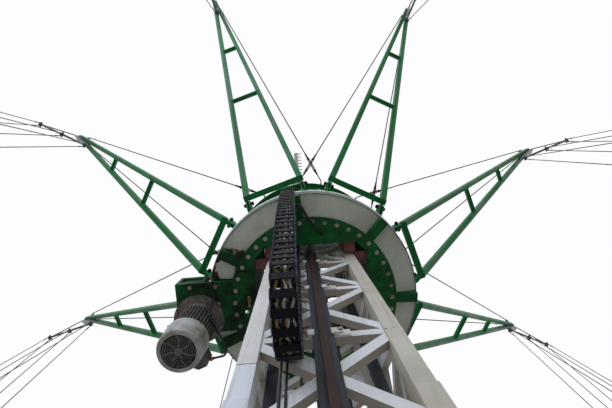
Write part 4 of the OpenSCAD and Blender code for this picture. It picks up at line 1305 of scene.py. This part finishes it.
@dataclass
class EnergyChain(Assembly):
    """The hanging cable chain: polyamide links on a fixed loop, with cables inside.

    Attributes:
        width: Width of a link, along its pins.
        height: Height of its side plates.
        pitch: Distance from pin to pin.
        side: Depth of the two overlapping plates on each side.
        plate: Thickness of one of them.
        outer_plate: Where the outer one ends, as a share of the pitch.
        inner_plate: Where the inner one starts and ends, and its height beside the outer one's, as shares.
        boss: Radius of each point of a pin's boss, and its height as a share of the side.
        boss_at: Place of the boss, as a share of the pitch.
        proud: How far a boss stands out of the side plate.
        bar: Where a crossbar starts and ends, as shares of the pitch.
        bar_half: Half the thickness of a crossbar.
        middle_x: The chain's middle, across the ride.
        bend: Radius of the half turn.
        drop: Height of the half turn's start below the slew plate.
        out: Distance of the chain's start from the mast's middle.
        rise: Height of its end above the slew plate.
        near_bend: Length of the hanging curve's handle at the half turn.
        near_end: Length of its handle at the bracket.
        stand_off: Distance of the straight run from the bracing.
        bracket: Depth of the bracket that it starts at.
        sway: How far a cable lies off its line, sideways and outwards.
        short: How far the cables end below the chain's top.
    """

    width: float = 0.120
    height: float = 0.058
    pitch: float = 0.068
    side: float = 0.012
    plate: float = 0.006
    outer_plate: float = 0.62
    inner_plate: tuple[float, float, float] = (0.34, 1.12, 0.8)
    boss: tuple[Point, ...] = ((0, 0), (0.011, 0), (0.011, 0.45), (0.009, 0.6), (0.006, 0.45), (0, 0.4))
    boss_at: float = 0.18
    proud: float = 0.0015
    bar: tuple[float, float] = (0.12, 0.66)
    bar_half: float = 0.0035
    middle_x: float = -0.160
    bend: float = 0.200
    drop: float = 1.752
    out: float = 1.050
    rise: float = 3.460
    near_bend: float = 0.25
    near_end: float = 1.2
    stand_off: float = 0.041
    bracket: float = 0.0306
    sway: tuple[float, float] = (0.008, 0.006)
    short: float = 0.02

    def path(self) -> list[Vector]:
        """Draws the chain's middle line: a hanging curve, a half turn and a straight run up the mast.

        Returns:
            The line's points.
        """
        far = -(self.layout.mast_half + self.stand_off)
        near = far - 2 * self.bend
        top, low = self.layout.plate_z - self.bracket, self.layout.plate_z - self.drop
        handles = [Vector((0, y, z)) for y, z in ((-self.out, top), (-self.out, top - self.near_end),
                                                  (near, low + self.near_bend), (near, low))]
        line = []
        for step in range(40):
            t = step / 40
            weights = ((1 - t) ** 3, 3 * t * (1 - t) ** 2, 3 * t * t * (1 - t), t ** 3)
            line.append(sum((w * h for w, h in zip(weights, handles)), Vector()))
        for step in range(37):
            angle = math.pi + math.pi * step / 36
            round_y, round_z = self.bend * math.cos(angle), self.bend * math.sin(angle)
            line.append(Vector((0, far - self.bend + round_y, low + round_z)))
        line.append(Vector((0, far, self.layout.plate_z + self.rise)))
        return [p + Vector((self.middle_x, 0, 0)) for p in line]

    def link(self) -> Object:
        """Makes one link along +Z: two side plates with pin bosses, and a crossbar on each face.

        Returns:
            The link, for the tree to repeat.
        """
        form = Form()
        half_w, half_h = self.width / 2, self.height / 2
        start, end, share = self.inner_plate
        boss = [(radius, self.side * rise) for radius, rise in self.boss]
        for s in (-1, 1):
            outer = (s * (half_w - self.proud), -self.plate, self.outer_plate * self.pitch, half_h)
            inner = (s * (half_w - self.side * 0.55), start * self.pitch, end * self.pitch, half_h * share)
            for x, low, high, reach in (outer, inner):
                place = Matrix(((0, 0, -s, x), (0, 1, 0, 0), (1, 0, 0, 0), (0, 0, 0, 1)))
                form.prism(self.rounded(low, high, reach), self.plate, place)
            at = (s * half_w - s * self.side * 0.6, 0, self.boss_at * self.pitch)
            form.lathe(boss, stand(at, (s, 0, 0)), 12)
        reach, (low, high) = half_w - self.side * 0.9, (share * self.pitch for share in self.bar)
        for s in (-1, 1):
            face = s * (half_h - 0.004)
            form.block((-reach, face - self.bar_half, low), (reach, face + self.bar_half, high))
        return placed("chain_link", form.mesh("chain_link", 0.0012, 1))

    @staticmethod
    def rounded(low: float, high: float, reach: float) -> list[tuple[float, float]]:
        """Draws a side plate with round ends, along X.

        Args:
            low: Where it starts.
            high: Where it ends.
            reach: Half its width.

        Returns:
            The plate's outline.
        """
        cut = reach * 0.55
        lower = [(low + 0.25 * cut, -reach * 0.7), (low + cut, -reach), (high - cut, -reach),
                 (high - 0.25 * cut, -reach * 0.7)]
        return lower[1:] + [(high, 0)] + [(x, -y) for x, y in reversed(lower)] + [(low, 0), lower[0]]

    def cables(self, line: list[Vector]) -> None:
        """Runs the cables through the chain, slack and side by side.

        Args:
            line: The chain's middle line.
        """
        aside, outwards = self.sway
        bundle = (("ochre", OCHRE_SHEATH, (-0.030, 0.012), 0.0075),
                  ("pale", PALE_SHEATH, (0.004, 0.034), 0.006),
                  ("black", BLACK_RUBBER, (-0.046, -0.012, 0.024, 0.046), 0.0085))
        for name, finish, offsets, radius in bundle:
            form = Form()
            for number, offset in enumerate(offsets):
                path = []
                for i in range(len(line) - 1):
                    ahead = (line[i + 1] - line[i]).normalized()
                    out = Vector((0, -ahead.z, ahead.y))
                    off = offset + aside * math.sin(i * 0.9 + 2.1 * number + offset * 90)
                    path.append(line[i] + Vector((off, 0, 0)) + out * outwards * math.cos(i * 0.7 + number))
                path.append(line[-1] + Vector((offset, 0, -self.short)))
                form.tube(path, radius, 8)
            form.piece(f"chain_cables_{name}", finish, Body.CARRIAGE, "cable_black")

    def build(self) -> None:
        """Lays the links along the path and the cables through them."""
        line = self.path()
        host = bpy.data.meshes.new("chain_path")
        host.from_pydata([tuple(p) for p in line], [(i, i + 1) for i in range(len(line) - 1)], [])
        link = self.link()
        mesh = LinkRecipe().cook(host, "chain_links", {
            "Pitch": self.pitch, "Link": link, "Material": CHAIN_PLASTIC.material()})
        bpy.data.objects.remove(link)
        mesh.shade_flat()
        ridden(mesh, "chain_links", CHAIN_PLASTIC, Body.CARRIAGE, "chain_black", "energy_chain")
        self.cables(line)


@dataclass
class Mast(Assembly):
    """Fasteners of the fixed mast: rail clips and foundation bolts.

    Attributes:
        clip_head: Radius of a clip bolt's head.
        clip_washer: Radius of its washer.
        anchor_head: Radius of a foundation bolt's head.
        anchor_washer: Radius of its washer.
        anchor_far: Distance of the outer bolts from the middle.
        anchor_near: Distance of the bolts between them.
        flange_top: Height of the base flange.
    """

    clip_head: float = 0.012
    clip_washer: float = 0.0162
    anchor_head: float = 0.024
    anchor_washer: float = 0.0312
    anchor_far: float = 0.670
    anchor_near: float = 0.270
    flange_top: float = 0.040

    def clip_bolts(self) -> None:
        """Puts a bolt through the outer face of every rail clip."""
        clips = BoltField(self.clip_head, self.clip_washer)
        for solid in islands("rail_clamps"):
            low, high = corners(solid)
            middle = (low + high) / 2
            front = middle.y < 0
            clips.at((middle.x, low.y if front else high.y, middle.z), (0, -1 if front else 1, 0))
        clips.make(self.bolts, "rail_clip_bolts", BOLT_STEEL, Body.TOWER)

    def anchor_bolts(self) -> None:
        """Sets the foundation bolts round the edge of the base flange."""
        ring = BoltField(self.anchor_head, self.anchor_washer, stud=0.6)
        places = (-self.anchor_far, -self.anchor_near, self.anchor_near, self.anchor_far)
        for x in places:
            for y in places:
                if max(abs(x), abs(y)) == self.anchor_far:
                    ring.at((x, y, self.flange_top), (0, 0, 1))
        ring.make(self.bolts, "foundation_bolts", BOLT_STEEL, Body.TOWER)

    def build(self) -> None:
        """Makes the mast's fasteners."""
        self.clip_bolts()
        self.anchor_bolts()


@dataclass
class Carriage(Assembly):
    """Fasteners and fittings on the slew plate, the covers and the guide shoes.

    Attributes:
        bolt_r: Radius of the slewing ring's bolt circle.
        bolt_step: Turn from bolt to bolt, in degrees.
        bolt_start: Turn of the first bolt, in degrees.
        head: Radius of a bolt's head.
        washer: Radius of its washer.
        drive_bolts: Places of the bolts beside the drive.
        frame_t: Thickness of a shoe frame's plates.
        frame_lift: Height of its end plates above the shoe's foot.
        shoe_h: Least height of a shoe, which its small parts don't reach.
        keeper: Height of the keeper across a shoe's back.
        keeper_at: Distance of a keeper from the shoe's end.
        well: Half the width of the opening round the mast.
        well_cut: Leg of the plates across its corners.
        corner_z: Height of those plates.
        hose_r: Radius of the hose.
        hose: Its route, in millimetres.
        tee_at: Place of the pipe tee under the plate.
        tee_r: Radius of its pipes.
        tee_flange: Radius of its flange.
        tee_nut: Radius of its nuts.
        tee_reach: Length of its pipes.
        tee_drop: Depth of its arms below the plate.
    """

    bolt_r: float = 0.7506
    bolt_step: float = 9.0
    bolt_start: float = 2.7
    head: float = 0.0175
    washer: float = 0.0215
    drive_bolts: tuple[tuple[float, float], ...] = ((-1.161, -0.217), (-0.926, -0.206), (-0.905, -0.038))
    frame_t: float = 0.007
    frame_lift: float = 0.006
    shoe_h: float = 0.1
    keeper: float = 0.022
    keeper_at: float = 0.05
    well: float = 0.5368
    well_cut: float = 0.105
    corner_z: float = 4.965
    hose_r: float = 0.014
    hose: tuple[Point, ...] = (
        (-99.7, -925, 4916), (-80, -925, 4914), (-55, -905, 4910), (-25, -845, 4908), (10, -780, 4908),
        (60, -712, 4908), (102, -663, 4911), (119, -644, 4920), (122, -641, 4933.7))
    tee_at: Point = (-0.609, -0.051)
    tee_r: float = 0.012
    tee_flange: float = 0.017
    tee_nut: float = 0.016
    tee_reach: float = 0.05
    tee_drop: float = 0.04

    def ring_bolts(self) -> None:
        """Sets the slewing ring's bolts, and those beside the drive, under the slew plate."""
        ring = BoltField(self.head, self.washer)
        for number in range(round(360 / self.bolt_step)):
            place = turned(number * self.bolt_step + self.bolt_start)
            ring.at((self.bolt_r, 0, self.layout.plate_z), (0, 0, -1), place)
        for x, y in self.drive_bolts:
            ring.at((x, y, self.layout.plate_z), (0, 0, -1))
        ring.make(self.bolts, "slewing_ring_bolts", BOLT_STEEL, Body.CARRIAGE)

    def shoe_frames(self) -> None:
        """Frames each guide shoe in dark plates, with keepers across its back and plates at the corners."""
        form = Form()
        thick = self.frame_t
        for solid in islands("guide_shoes"):
            low, high = corners(solid)
            size = high - low
            if size.z < self.shoe_h:
                continue
            along = 0 if size.x > size.y else 1
            across = 1 - along
            for end in (low[along] - thick, high[along]):
                a, b = low.copy(), high.copy()
                a[along], b[along] = end, end + thick
                a.z += self.frame_lift
                form.block(a, b)
            back = low[across] - thick if abs(low[across]) > abs(high[across]) else high[across]
            for z in (low.z + self.keeper_at, high.z - self.keeper_at - self.keeper):
                a, b = low.copy(), high.copy()
                a[along] -= thick
                b[along] += thick
                a[across], b[across] = back, back + thick
                a.z, b.z = z, z + self.keeper
                form.block(a, b)
        for turn in range(4):
            outline = [(-self.well + t * self.well_cut, -self.well + u * self.well_cut)
                       for t, u in ((0, 1), (1, 0), (1, 1))]
            form.prism(outline, thick, Matrix.Translation((0, 0, self.corner_z)) @ turned(90 * turn))
        form.piece("shoe_frames", DARK_STEEL, Body.CARRIAGE, "bare_steel", width=0.0015)

    def plate_fittings(self) -> None:
        """Adds the hose and the tan pipe tee that hang under the slew plate."""
        form = Form()
        form.tube(smoothed(self.hose), self.hose_r, 12)
        form.piece("hose_skin", BLACK_RUBBER, Body.CARRIAGE, "cable_black")
        tee = Form()
        pipe, flange, nut, reach = self.tee_r, self.tee_flange, self.tee_nut, self.tee_reach
        tee.lathe([(0, 0), (flange, 0), (flange, 0.012), (pipe, 0.014), (pipe, reach), (0, reach)],
                  stand((*self.tee_at, self.layout.plate_z), (0, 0, -1)), 14)
        for way in (-1, 1):
            tee.lathe([(0, 0), (pipe, 0), (pipe, 0.03), (nut, 0.032), (nut, reach), (0, reach)],
                      stand((*self.tee_at, self.layout.plate_z - self.tee_drop), (0, way, 0)), 14)
        tee.piece("pipe_tee", TAN_FITTING, Body.CARRIAGE, "bare_steel", width=0.001)

    def build(self) -> None:
        """Makes the carriage's fittings."""
        self.ring_bolts()
        self.shoe_frames()
        self.plate_fittings()


@dataclass
class Motor(Assembly):
    """The slewing motor as the photograph shows it: finned body, fan cowl with its grille, box and cable.

    Attributes:
        axis: Place of its axis, across and along the ride.
        length: Height from the grille to the slew plate.
        flange_r: Radius of the flange.
        flange_t: Thickness of the flange.
        seat_gap: Gap that keeps the flange clear of the plate's faces.
        core_r: Radius of the body between its fins.
        fin_reach: Height of a fin.
        fin_half: Half a fin's thickness.
        fins: Fins round the body.
        shield: Depth of the end shield that the cowl is screwed to.
        adapter: The cone between fins and flange: distance of its points from the core and from the plate.
        cowl_r: Radius of the cowl at its open end.
        cowl_taper: How much narrower it is at the grille.
        cowl_h: Height of the cowl.
        cowl_wall: Thickness of its sheet.
        cowl_round: Its rounded edge: distance of the points from the side and from the grille.
        grille_r: Radius of the grille.
        grille_t: Thickness of its bars.
        hub_r: Radius of its hub.
        dome: Radius and height of the points on the hub's rounded face.
        rings: Spaces between the hub and the edge, with a ring at each step.
        ring_w: Width of a ring.
        ring_low: Depth of the rings behind the hub's face.
        spokes: Curved spokes of the grille.
        spoke_w: Width of a spoke.
        spoke_bend: Radius of its curve.
        spoke_turn: Turn of the first spoke, in degrees.
        box_turn: Turn of the terminal box, in degrees.
        box: Its reach, width and height.
        box_cut: Leg of its cut corners.
        box_lap: How far it laps over the fins.
        box_up: Its height above the cowl.
        lid: Thickness of its lid.
        lid_grow: How far the lid stands over the box.
        flange_bolts: Bolts round the flange.
        bolt: Radius of their heads and of their washers.
        bolt_inset: Distance of their circle from the flange's edge.
        screw: Radius of the cowl screws' heads and of their washers.
        cable_r: Radius of the supply cable.
        cable: Its route, in millimetres.
    """

    axis: Point = (-1.1025, 0.092)
    length: float = 0.623
    flange_r: float = 0.236
    flange_t: float = 0.026
    seat_gap: float = 0.0005
    core_r: float = 0.150
    fin_reach: float = 0.026
    fin_half: float = 0.003
    fins: int = 36
    shield: float = 0.030
    adapter: tuple[Point, ...] = ((0.0, 0.094), (0.012, 0.090), (0.022, 0.08), (0.022, 0.045))
    cowl_r: float = 0.190
    cowl_taper: float = 0.009
    cowl_h: float = 0.210
    cowl_wall: float = 0.004
    cowl_round: tuple[Point, ...] = ((0.020, 0.0), (0.006, 0.007), (0.0, 0.022))
    grille_r: float = 0.140
    grille_t: float = 0.005
    hub_r: float = 0.036
    dome: tuple[Point, ...] = ((0, -0.003), (0.018, -0.002))
    rings: int = 6
    ring_w: float = 0.0055
    ring_low: float = 0.001
    spokes: int = 7
    spoke_w: float = 0.011
    spoke_bend: float = 0.105
    spoke_turn: float = 12.0
    box_turn: float = 70.0
    box: Point = (0.125, 0.140, 0.120)
    box_cut: float = 0.030
    box_lap: float = 0.004
    box_up: float = 0.02
    lid: float = 0.011
    lid_grow: float = 0.004
    flange_bolts: int = 8
    bolt: tuple[float, float] = (0.013, 0.018)
    bolt_inset: float = 0.017
    screw: tuple[float, float] = (0.007, 0.011)
    cable_r: float = 0.009
    cable: tuple[Point, ...] = (
        (-1040, -268, 5090), (-1000, -270, 5060), (-976, -272, 5019), (-962, -273, 4960), (-956, -272, 4938),
        (-952, -260, 4916), (-948, -232, 4910), (-942, -192, 4908), (-937, -138, 4902), (-950, -78, 4880),
        (-966, -40, 4830), (-954, -24, 4735), (-922, 32, 4700), (-880, 125, 4685), (-827, 192, 4640),
        (-802, 253, 4605), (-816, 295, 4592), (-862, 306, 4588), (-911, 313, 4588), (-942.7, 324.5, 4588))

    @property
    def top(self) -> float:
        """Returns the height of the slew plate's underside."""
        return self.layout.plate_z

    @property
    def low(self) -> float:
        """Returns the height of the motor's lowest face."""
        return self.top - self.length

    def at(self, height: float) -> Matrix:
        """Returns the place on the motor's axis at a height."""
        return Matrix.Translation((*self.axis, height))

    def spoke(self) -> list[tuple[float, float]]:
        """Draws one curved spoke, which laps into the hub and the grille's edge.

        Returns:
            The spoke's outline.
        """
        start, end = self.hub_r - 0.004, self.grille_r + 0.002
        half = (end - start) / 2
        drop = math.sqrt(self.spoke_bend ** 2 - half ** 2)
        reach = math.asin(half / self.spoke_bend)
        inner, outer = [], []
        for k in range(13):
            angle = math.pi / 2 + reach - 2 * reach * k / 12
            for line, edge in ((inner, -0.5), (outer, 0.5)):
                r = self.spoke_bend + edge * self.spoke_w
                line.append((start + half + r * math.cos(angle), r * math.sin(angle) - drop))
        return inner + outer[::-1]

    def cowl(self) -> None:
        """Makes the fan cowl: a tapered shell, its grille rings, hub and curved spokes."""
        form = Form()
        place = self.at(self.low)
        face, wall, back = self.cowl_r - self.cowl_taper, self.cowl_wall, self.grille_t
        edge = [(face - inset, height) for inset, height in self.cowl_round]
        form.lathe([(self.grille_r, 0), *edge, (self.cowl_r, self.cowl_h), (self.cowl_r - wall, self.cowl_h),
                    (face - wall, edge[-1][1] + wall / 2), (edge[0][0], back), (self.grille_r, back)],
                   place, 72)
        form.piece("fan_cowl", MOTOR_GREY, Body.CARRIAGE, "motor_grey", "motor_cowl")
        form = Form()
        pitch = (self.grille_r - self.hub_r) / self.rings
        for k in range(1, self.rings):
            inner = self.hub_r + k * pitch - self.ring_w / 2
            outer = inner + self.ring_w
            form.lathe([(inner, self.ring_low), (outer, self.ring_low), (outer, back), (inner, back)],
                       place, 72)
        form.lathe([*self.dome, (self.hub_r, self.ring_low), (self.hub_r, back), (0, back)], place, 36)
        for k in range(self.spokes):
            form.prism(self.spoke(), self.grille_t, place @ turned(360 / self.spokes * k + self.spoke_turn))
        # The grille faces down and takes the darker casting enamel: painted shade
        form.piece("fan_grille", MOTOR_CAST, Body.CARRIAGE, "motor_grey")

    def body(self) -> None:
        """Makes the finned body with its flange, adapter and the end shield that the cowl is screwed to."""
        form = Form()
        top, cowl_top = self.top, self.low + self.cowl_h
        tip, seat = self.core_r + self.fin_reach, top - self.seat_gap
        adapter = [(self.core_r + out, top - down) for out, down in self.adapter]
        form.lathe([(0, cowl_top - self.shield), (tip, cowl_top - self.shield), (tip, cowl_top),
                    (self.core_r, cowl_top + 0.004), *adapter,
                    (self.flange_r - 0.03, top - self.flange_t - 0.006), (self.flange_r, top - self.flange_t),
                    (self.flange_r, seat), (0, seat)], self.at(0), 72)
        for k in range(self.fins):
            form.block((self.core_r - 0.006, -self.fin_half, cowl_top - 0.002),
                       (tip, self.fin_half, top - 0.092), self.at(0) @ turned(360 / self.fins * k))
        form.piece("finned_body", MOTOR_CAST, Body.CARRIAGE, "motor_grey", "motor_body")

    def terminal_box(self) -> None:
        """Makes the terminal box with its lid."""
        reach, width, height = self.box
        seat, cut = self.core_r + self.fin_reach - self.box_lap, self.box_cut
        form = Form()
        for grow, start, tall in ((0.0, 0.0, height - 0.012), (self.lid_grow, height - self.lid, self.lid)):
            half, out = width / 2 + grow, seat + reach + grow
            outline = [(seat, -half), (out - cut, -half), (out, -half + cut), (out, half - cut),
                       (out - cut, half), (seat, half)]
            place = self.at(self.low + self.cowl_h + self.box_up + start) @ turned(self.box_turn)
            form.prism(outline, tall, place)
        form.piece("terminal_box", MOTOR_CAST, Body.CARRIAGE, "motor_grey", "motor_box", width=0.004,
                   segments=2)

    def supply(self) -> None:
        """Sweeps the supply cable and screws its gland onto the terminal box."""
        form, gland = Form(), Form()
        line = smoothed(self.cable)
        form.tube(line, self.cable_r, 12)
        form.piece("supply_cable", BLACK_RUBBER, Body.CARRIAGE, "cable_black")
        place, bore, nut = stand(line[-1], line[-7] - line[-1]), self.cable_r + 0.0015, 0.012
        gland.lathe([(bore, 0), (0.017, 0), (0.017, nut), (bore, nut)], place, 6)
        gland.lathe([(bore, nut), (0.0145, nut), (0.0145, 0.03), (0.012, 0.036), (bore, 0.036)], place, 16)
        gland.piece("cable_gland", BRASS, Body.CARRIAGE, "bare_steel", width=0.0008)

    def fasteners(self) -> None:
        """Bolts the flange to the drive and the cowl to the end shield."""
        flange = BoltField(*self.bolt)
        for k in range(self.flange_bolts):
            flange.at((self.flange_r - self.bolt_inset, 0, 0), (0, 0, -1),
                      self.at(self.top - self.flange_t - 0.003) @ turned(360 / self.flange_bolts * (k + 0.5)))
        flange.make(self.bolts, "motor_flange_bolts", BOLT_STEEL, Body.CARRIAGE)
        screws = BoltField(*self.screw, stud=0.3)
        for k in range(4):
            screws.at((self.cowl_r - 0.0012, 0, 0), (1, 0, 0),
                      self.at(self.low + self.cowl_h - 0.015) @ turned(90 * k + 45))
        screws.make(self.bolts, "cowl_screws", BOLT_STEEL, Body.CARRIAGE)

    def build(self) -> None:
        """Makes the motor from its grille up."""
        self.cowl()
        self.body()
        self.terminal_box()
        self.supply()
        self.fasteners()


@dataclass
class HubTrim(Assembly):
    """The white band round the turning head, which shows past the edge of the covers from the ground.

    Attributes:
        inner: Inner radius, just outside the hub floor.
        outer: Outer radius.
        low: Height of its lower edge.
        high: Height of its upper edge.
        ease: Width of its broken edges.
    """

    inner: float = 1.0005
    outer: float = 1.036
    low: float = 5.162
    high: float = 5.236
    ease: float = 0.006

    def build(self) -> None:
        """Turns the band on the hub floor's edge."""
        form = Form()
        rim = self.outer - self.ease
        form.lathe([(self.inner, self.low), (rim, self.low), (self.outer, self.low + self.ease),
                    (self.outer, self.high - self.ease), (rim, self.high), (self.inner, self.high)],
                   Matrix(), 144)
        form.piece("hub_trim", TRIM_WHITE, Body.ROTOR, "mast_white")


@dataclass
class ArmPins(Assembly):
    """Heads and nuts on the pins that hold the arms' roots.

    Attributes:
        pin_at: Distance of a pin from the ride's axis.
        half: Distance of a pin's middle from the arm's middle plane.
        reach: Distance of its ends from its middle.
        rise: Height above the slew plate's underside.
        head: Radius of a head.
    """

    pin_at: float = 1.056
    half: float = 0.292
    reach: float = 0.035
    rise: float = 0.339
    head: float = 0.019

    def build(self) -> None:
        """Sets a head on both ends of each pin."""
        heads = BoltField(self.head, self.head * 1.25)
        for arm in range(1, self.layout.arms + 1):
            for side in (-1, 1):
                for end in (-1, 1):
                    spot = (self.pin_at, side * self.half + end * self.reach, self.layout.plate_z + self.rise)
                    heads.at(spot, (0, end, 0), self.layout.arm(arm))
        heads.make(self.bolts, "arm_pin_heads", PIN_STEEL, Body.ROTOR)


@dataclass
class Rigging(Assembly):
    """Stays and hanging ropes as laid wire, with turnbuckles and ferrules at their ends.

    Attributes:
        sleeves: A turnbuckle's sleeves: radius at the start, start, radius at the end, end, and sides. The
            radii are shares of the stay's.
        rods: Start, end and half the thickness of the two rods between them, and their place as a share.
        ferrule: Radius of a ferrule's points, as shares of the rope's, and their place along it.
        shortest: Length from which a rod is a stay with a turnbuckle.
        buckle_at: Distance of a turnbuckle from the hub.
        buckle_r: Least radius of a stay for a turnbuckle's size.
    """

    sleeves: tuple[tuple[float, float, float, float, int], ...] = (
        (1.6, 0.0, 1.6, 0.05, 10), (2.2, 0.05, 2.2, 0.085, 6), (2.2, 0.265, 2.2, 0.3, 6),
        (1.6, 0.3, 1.5, 0.37, 10))
    rods: tuple[float, float, float, float] = (0.08, 0.27, 0.004, 1.9)
    ferrule: tuple[Point, ...] = ((0, 0.03), (1.3, 0.03), (1.9, 0.04), (1.9, 0.1), (1.3, 0.11), (0, 0.11))
    shortest: float = 1.5
    buckle_at: float = 0.12
    buckle_r: float = 0.006

    def wires(self, node: str, name: str, sides: int) -> list[Rod]:
        """Replaces a node of straight rods with wire ropes.

        Args:
            node: The construction node.
            name: Name of the new piece.
            sides: Sides of a rope's section.

        Returns:
            The rods' ends and radii.
        """
        rods = [rod_of(solid) for solid in islands(node)]
        form = Form()
        for a, b, radius in rods:
            form.tube([a.lerp(b, t / 4) for t in range(5)], radius, sides)
        form.piece(name, ROPE_WIRE, Body.ROTOR, "rope_steel", node)
        return rods

    def turnbuckles(self, rods: list[Rod]) -> None:
        """Puts a turnbuckle on the hub end of every stay.

        Args:
            rods: The stays' ends and radii.
        """
        form = Form()
        for a, b, radius in rods:
            hub, tip = sorted((a, b), key=lambda p: math.hypot(p.x, p.y))
            if (tip - hub).length < self.shortest:
                continue
            way = (tip - hub).normalized()
            place = stand(hub + way * self.buckle_at, way)
            r = max(radius, self.buckle_r)
            for wide, start, thin, end, sides in self.sleeves:
                form.lathe([(0, start), (r * wide, start), (r * thin, end), (0, end)], place, sides)
            start, end, half, aside = self.rods
            for x in (-r * aside, r * aside):
                form.block((x - half, -2 * half, start), (x + half, 2 * half, end), place)
        form.piece("turnbuckles", PIN_STEEL, Body.ROTOR, "bare_steel", width=0.001)

    def ferrules(self, rods: list[Rod]) -> None:
        """Presses a ferrule on each end of every hanging rope.

        Args:
            rods: The ropes' ends and radii.
        """
        form = Form()
        for a, b, radius in rods:
            profile = [(radius * wide, height) for wide, height in self.ferrule]
            for end, other in ((a, b), (b, a)):
                form.lathe(profile, stand(end, (other - end).normalized()), 12)
        form.piece("ferrules", BRIGHT_STEEL, Body.ROTOR, "bare_steel")

    def build(self) -> None:
        """Rigs the head."""
        stays = self.wires("arm_stays", "stay_wires", 8)
        self.turnbuckles(stays)
        ropes = self.wires("hanging_ropes", "hanging_wires", 6)
        self.ferrules(ropes)


@dataclass
class Seats(Assembly):
    """Cushions and lap bars of the eight double seats.

    Attributes:
        hooks: Distance of the three side frames from the ride's axis.
        pan_z: Height of the pan.
        depth: Depth of the pan.
        back_h: Height of the back.
        frame_half: Half a side frame's thickness.
        pad_gap: Gap between a pad and a frame.
        pad: Underside and top of the seat pad, above the pan.
        pad_inset: Distance of its front and its back from the pan's edges.
        back_pad: Thickness of the back pad.
        back_at: Distance of its foot from the pan's back edge, and above the pan.
        back_top: Distance of its top below the back's.
        lean: Lean of the back, in degrees.
        bar_y: Distance of the lap bar before the seat's middle.
        bar_rise: Height of the lap bar above the pan.
        bar_r: Radius of the bar and of its post.
    """

    hooks: tuple[float, float, float] = (3.985, 4.420, 4.838)
    pan_z: float = 3.670
    depth: float = 0.430
    back_h: float = 0.620
    frame_half: float = 0.020
    pad_gap: float = 0.012
    pad: tuple[float, float] = (0.031, 0.07)
    pad_inset: tuple[float, float] = (0.005, 0.06)
    back_pad: float = 0.034
    back_at: tuple[float, float] = (0.012, 0.09)
    back_top: float = 0.13
    lean: float = 8.5
    bar_y: float = 0.255
    bar_rise: float = 0.24
    bar_r: tuple[float, float] = (0.014, 0.009)

    def cushions(self, form: Form, place: Matrix, low: float, high: float) -> None:
        """Adds a seat pad and a back pad between two side frames.

        Args:
            form: The form that takes the pads.
            place: The arm's turn.
            low: Where the pads start along the arm.
            high: Where they end.
        """
        half = self.depth / 2
        form.block((low, -half + self.pad_inset[0], self.pan_z + self.pad[0]),
                   (high, half - self.pad_inset[1], self.pan_z + self.pad[1]), place)
        foot = Matrix.Translation((0, half - self.back_at[0], self.pan_z + self.back_at[1]))
        back = place @ foot @ Matrix.Rotation(math.radians(-self.lean), 4, "X")
        form.block((low, -self.back_pad, 0.0), (high, 0.0, self.back_h - self.back_top), back)

    def lap_bar(self, form: Form, place: Matrix, low: float, high: float) -> None:
        """Adds the tube across a seat's front and its strap post down to the pan.

        Args:
            form: The form that takes the tubes.
            place: The arm's turn.
            low: Where the bar starts along the arm.
            high: Where it ends.
        """
        y, z, middle = -self.bar_y, self.pan_z + self.bar_rise, (low + high) / 2
        foot = (middle, -self.depth / 2 - 0.012, self.pan_z + 0.008)
        post = ((middle, y, z), (middle, y + 0.02, z - 0.1), foot)
        bar_r, post_r = self.bar_r
        form.tube([place @ Vector((x, y, z)) for x in (low, middle, high)], bar_r, 10)
        form.tube([place @ Vector(p) for p in post], post_r, 8)

    def build(self) -> None:
        """Dresses every seat."""
        for number in range(1, self.layout.arms + 1):
            place = self.layout.arm(number)
            pads, bars = Form(), Form()
            for inner, outer in zip(self.hooks, self.hooks[1:]):
                low, high = inner + self.frame_half, outer - self.frame_half
                self.cushions(pads, place, low + self.pad_gap, high - self.pad_gap)
                self.lap_bar(bars, place, low, high)
            pads.piece(f"cushions_{number}", CUSHION, Body.ROTOR, "seat_green", width=0.012, segments=3)
            bars.piece(f"lap_bars_{number}", BRIGHT_STEEL, Body.ROTOR, "bare_steel")


def main() -> None:
    """Builds the ride's looks in order."""
    logging.basicConfig(level=logging.INFO, format="%(name)s: %(message)s")
    bpy.context.scene.view_settings.view_transform = "Standard"
    Studio().build()
    Steelwork().build()
    layout, bolts = Layout.read(), BoltRecipe()
    for part in (EnergyChain, Mast, Carriage, Motor, HubTrim, ArmPins, Rigging, Seats):
        part(layout, bolts).build()
        LOG.info("%s built", part.__name__)


if __name__ == "__main__":
    main()
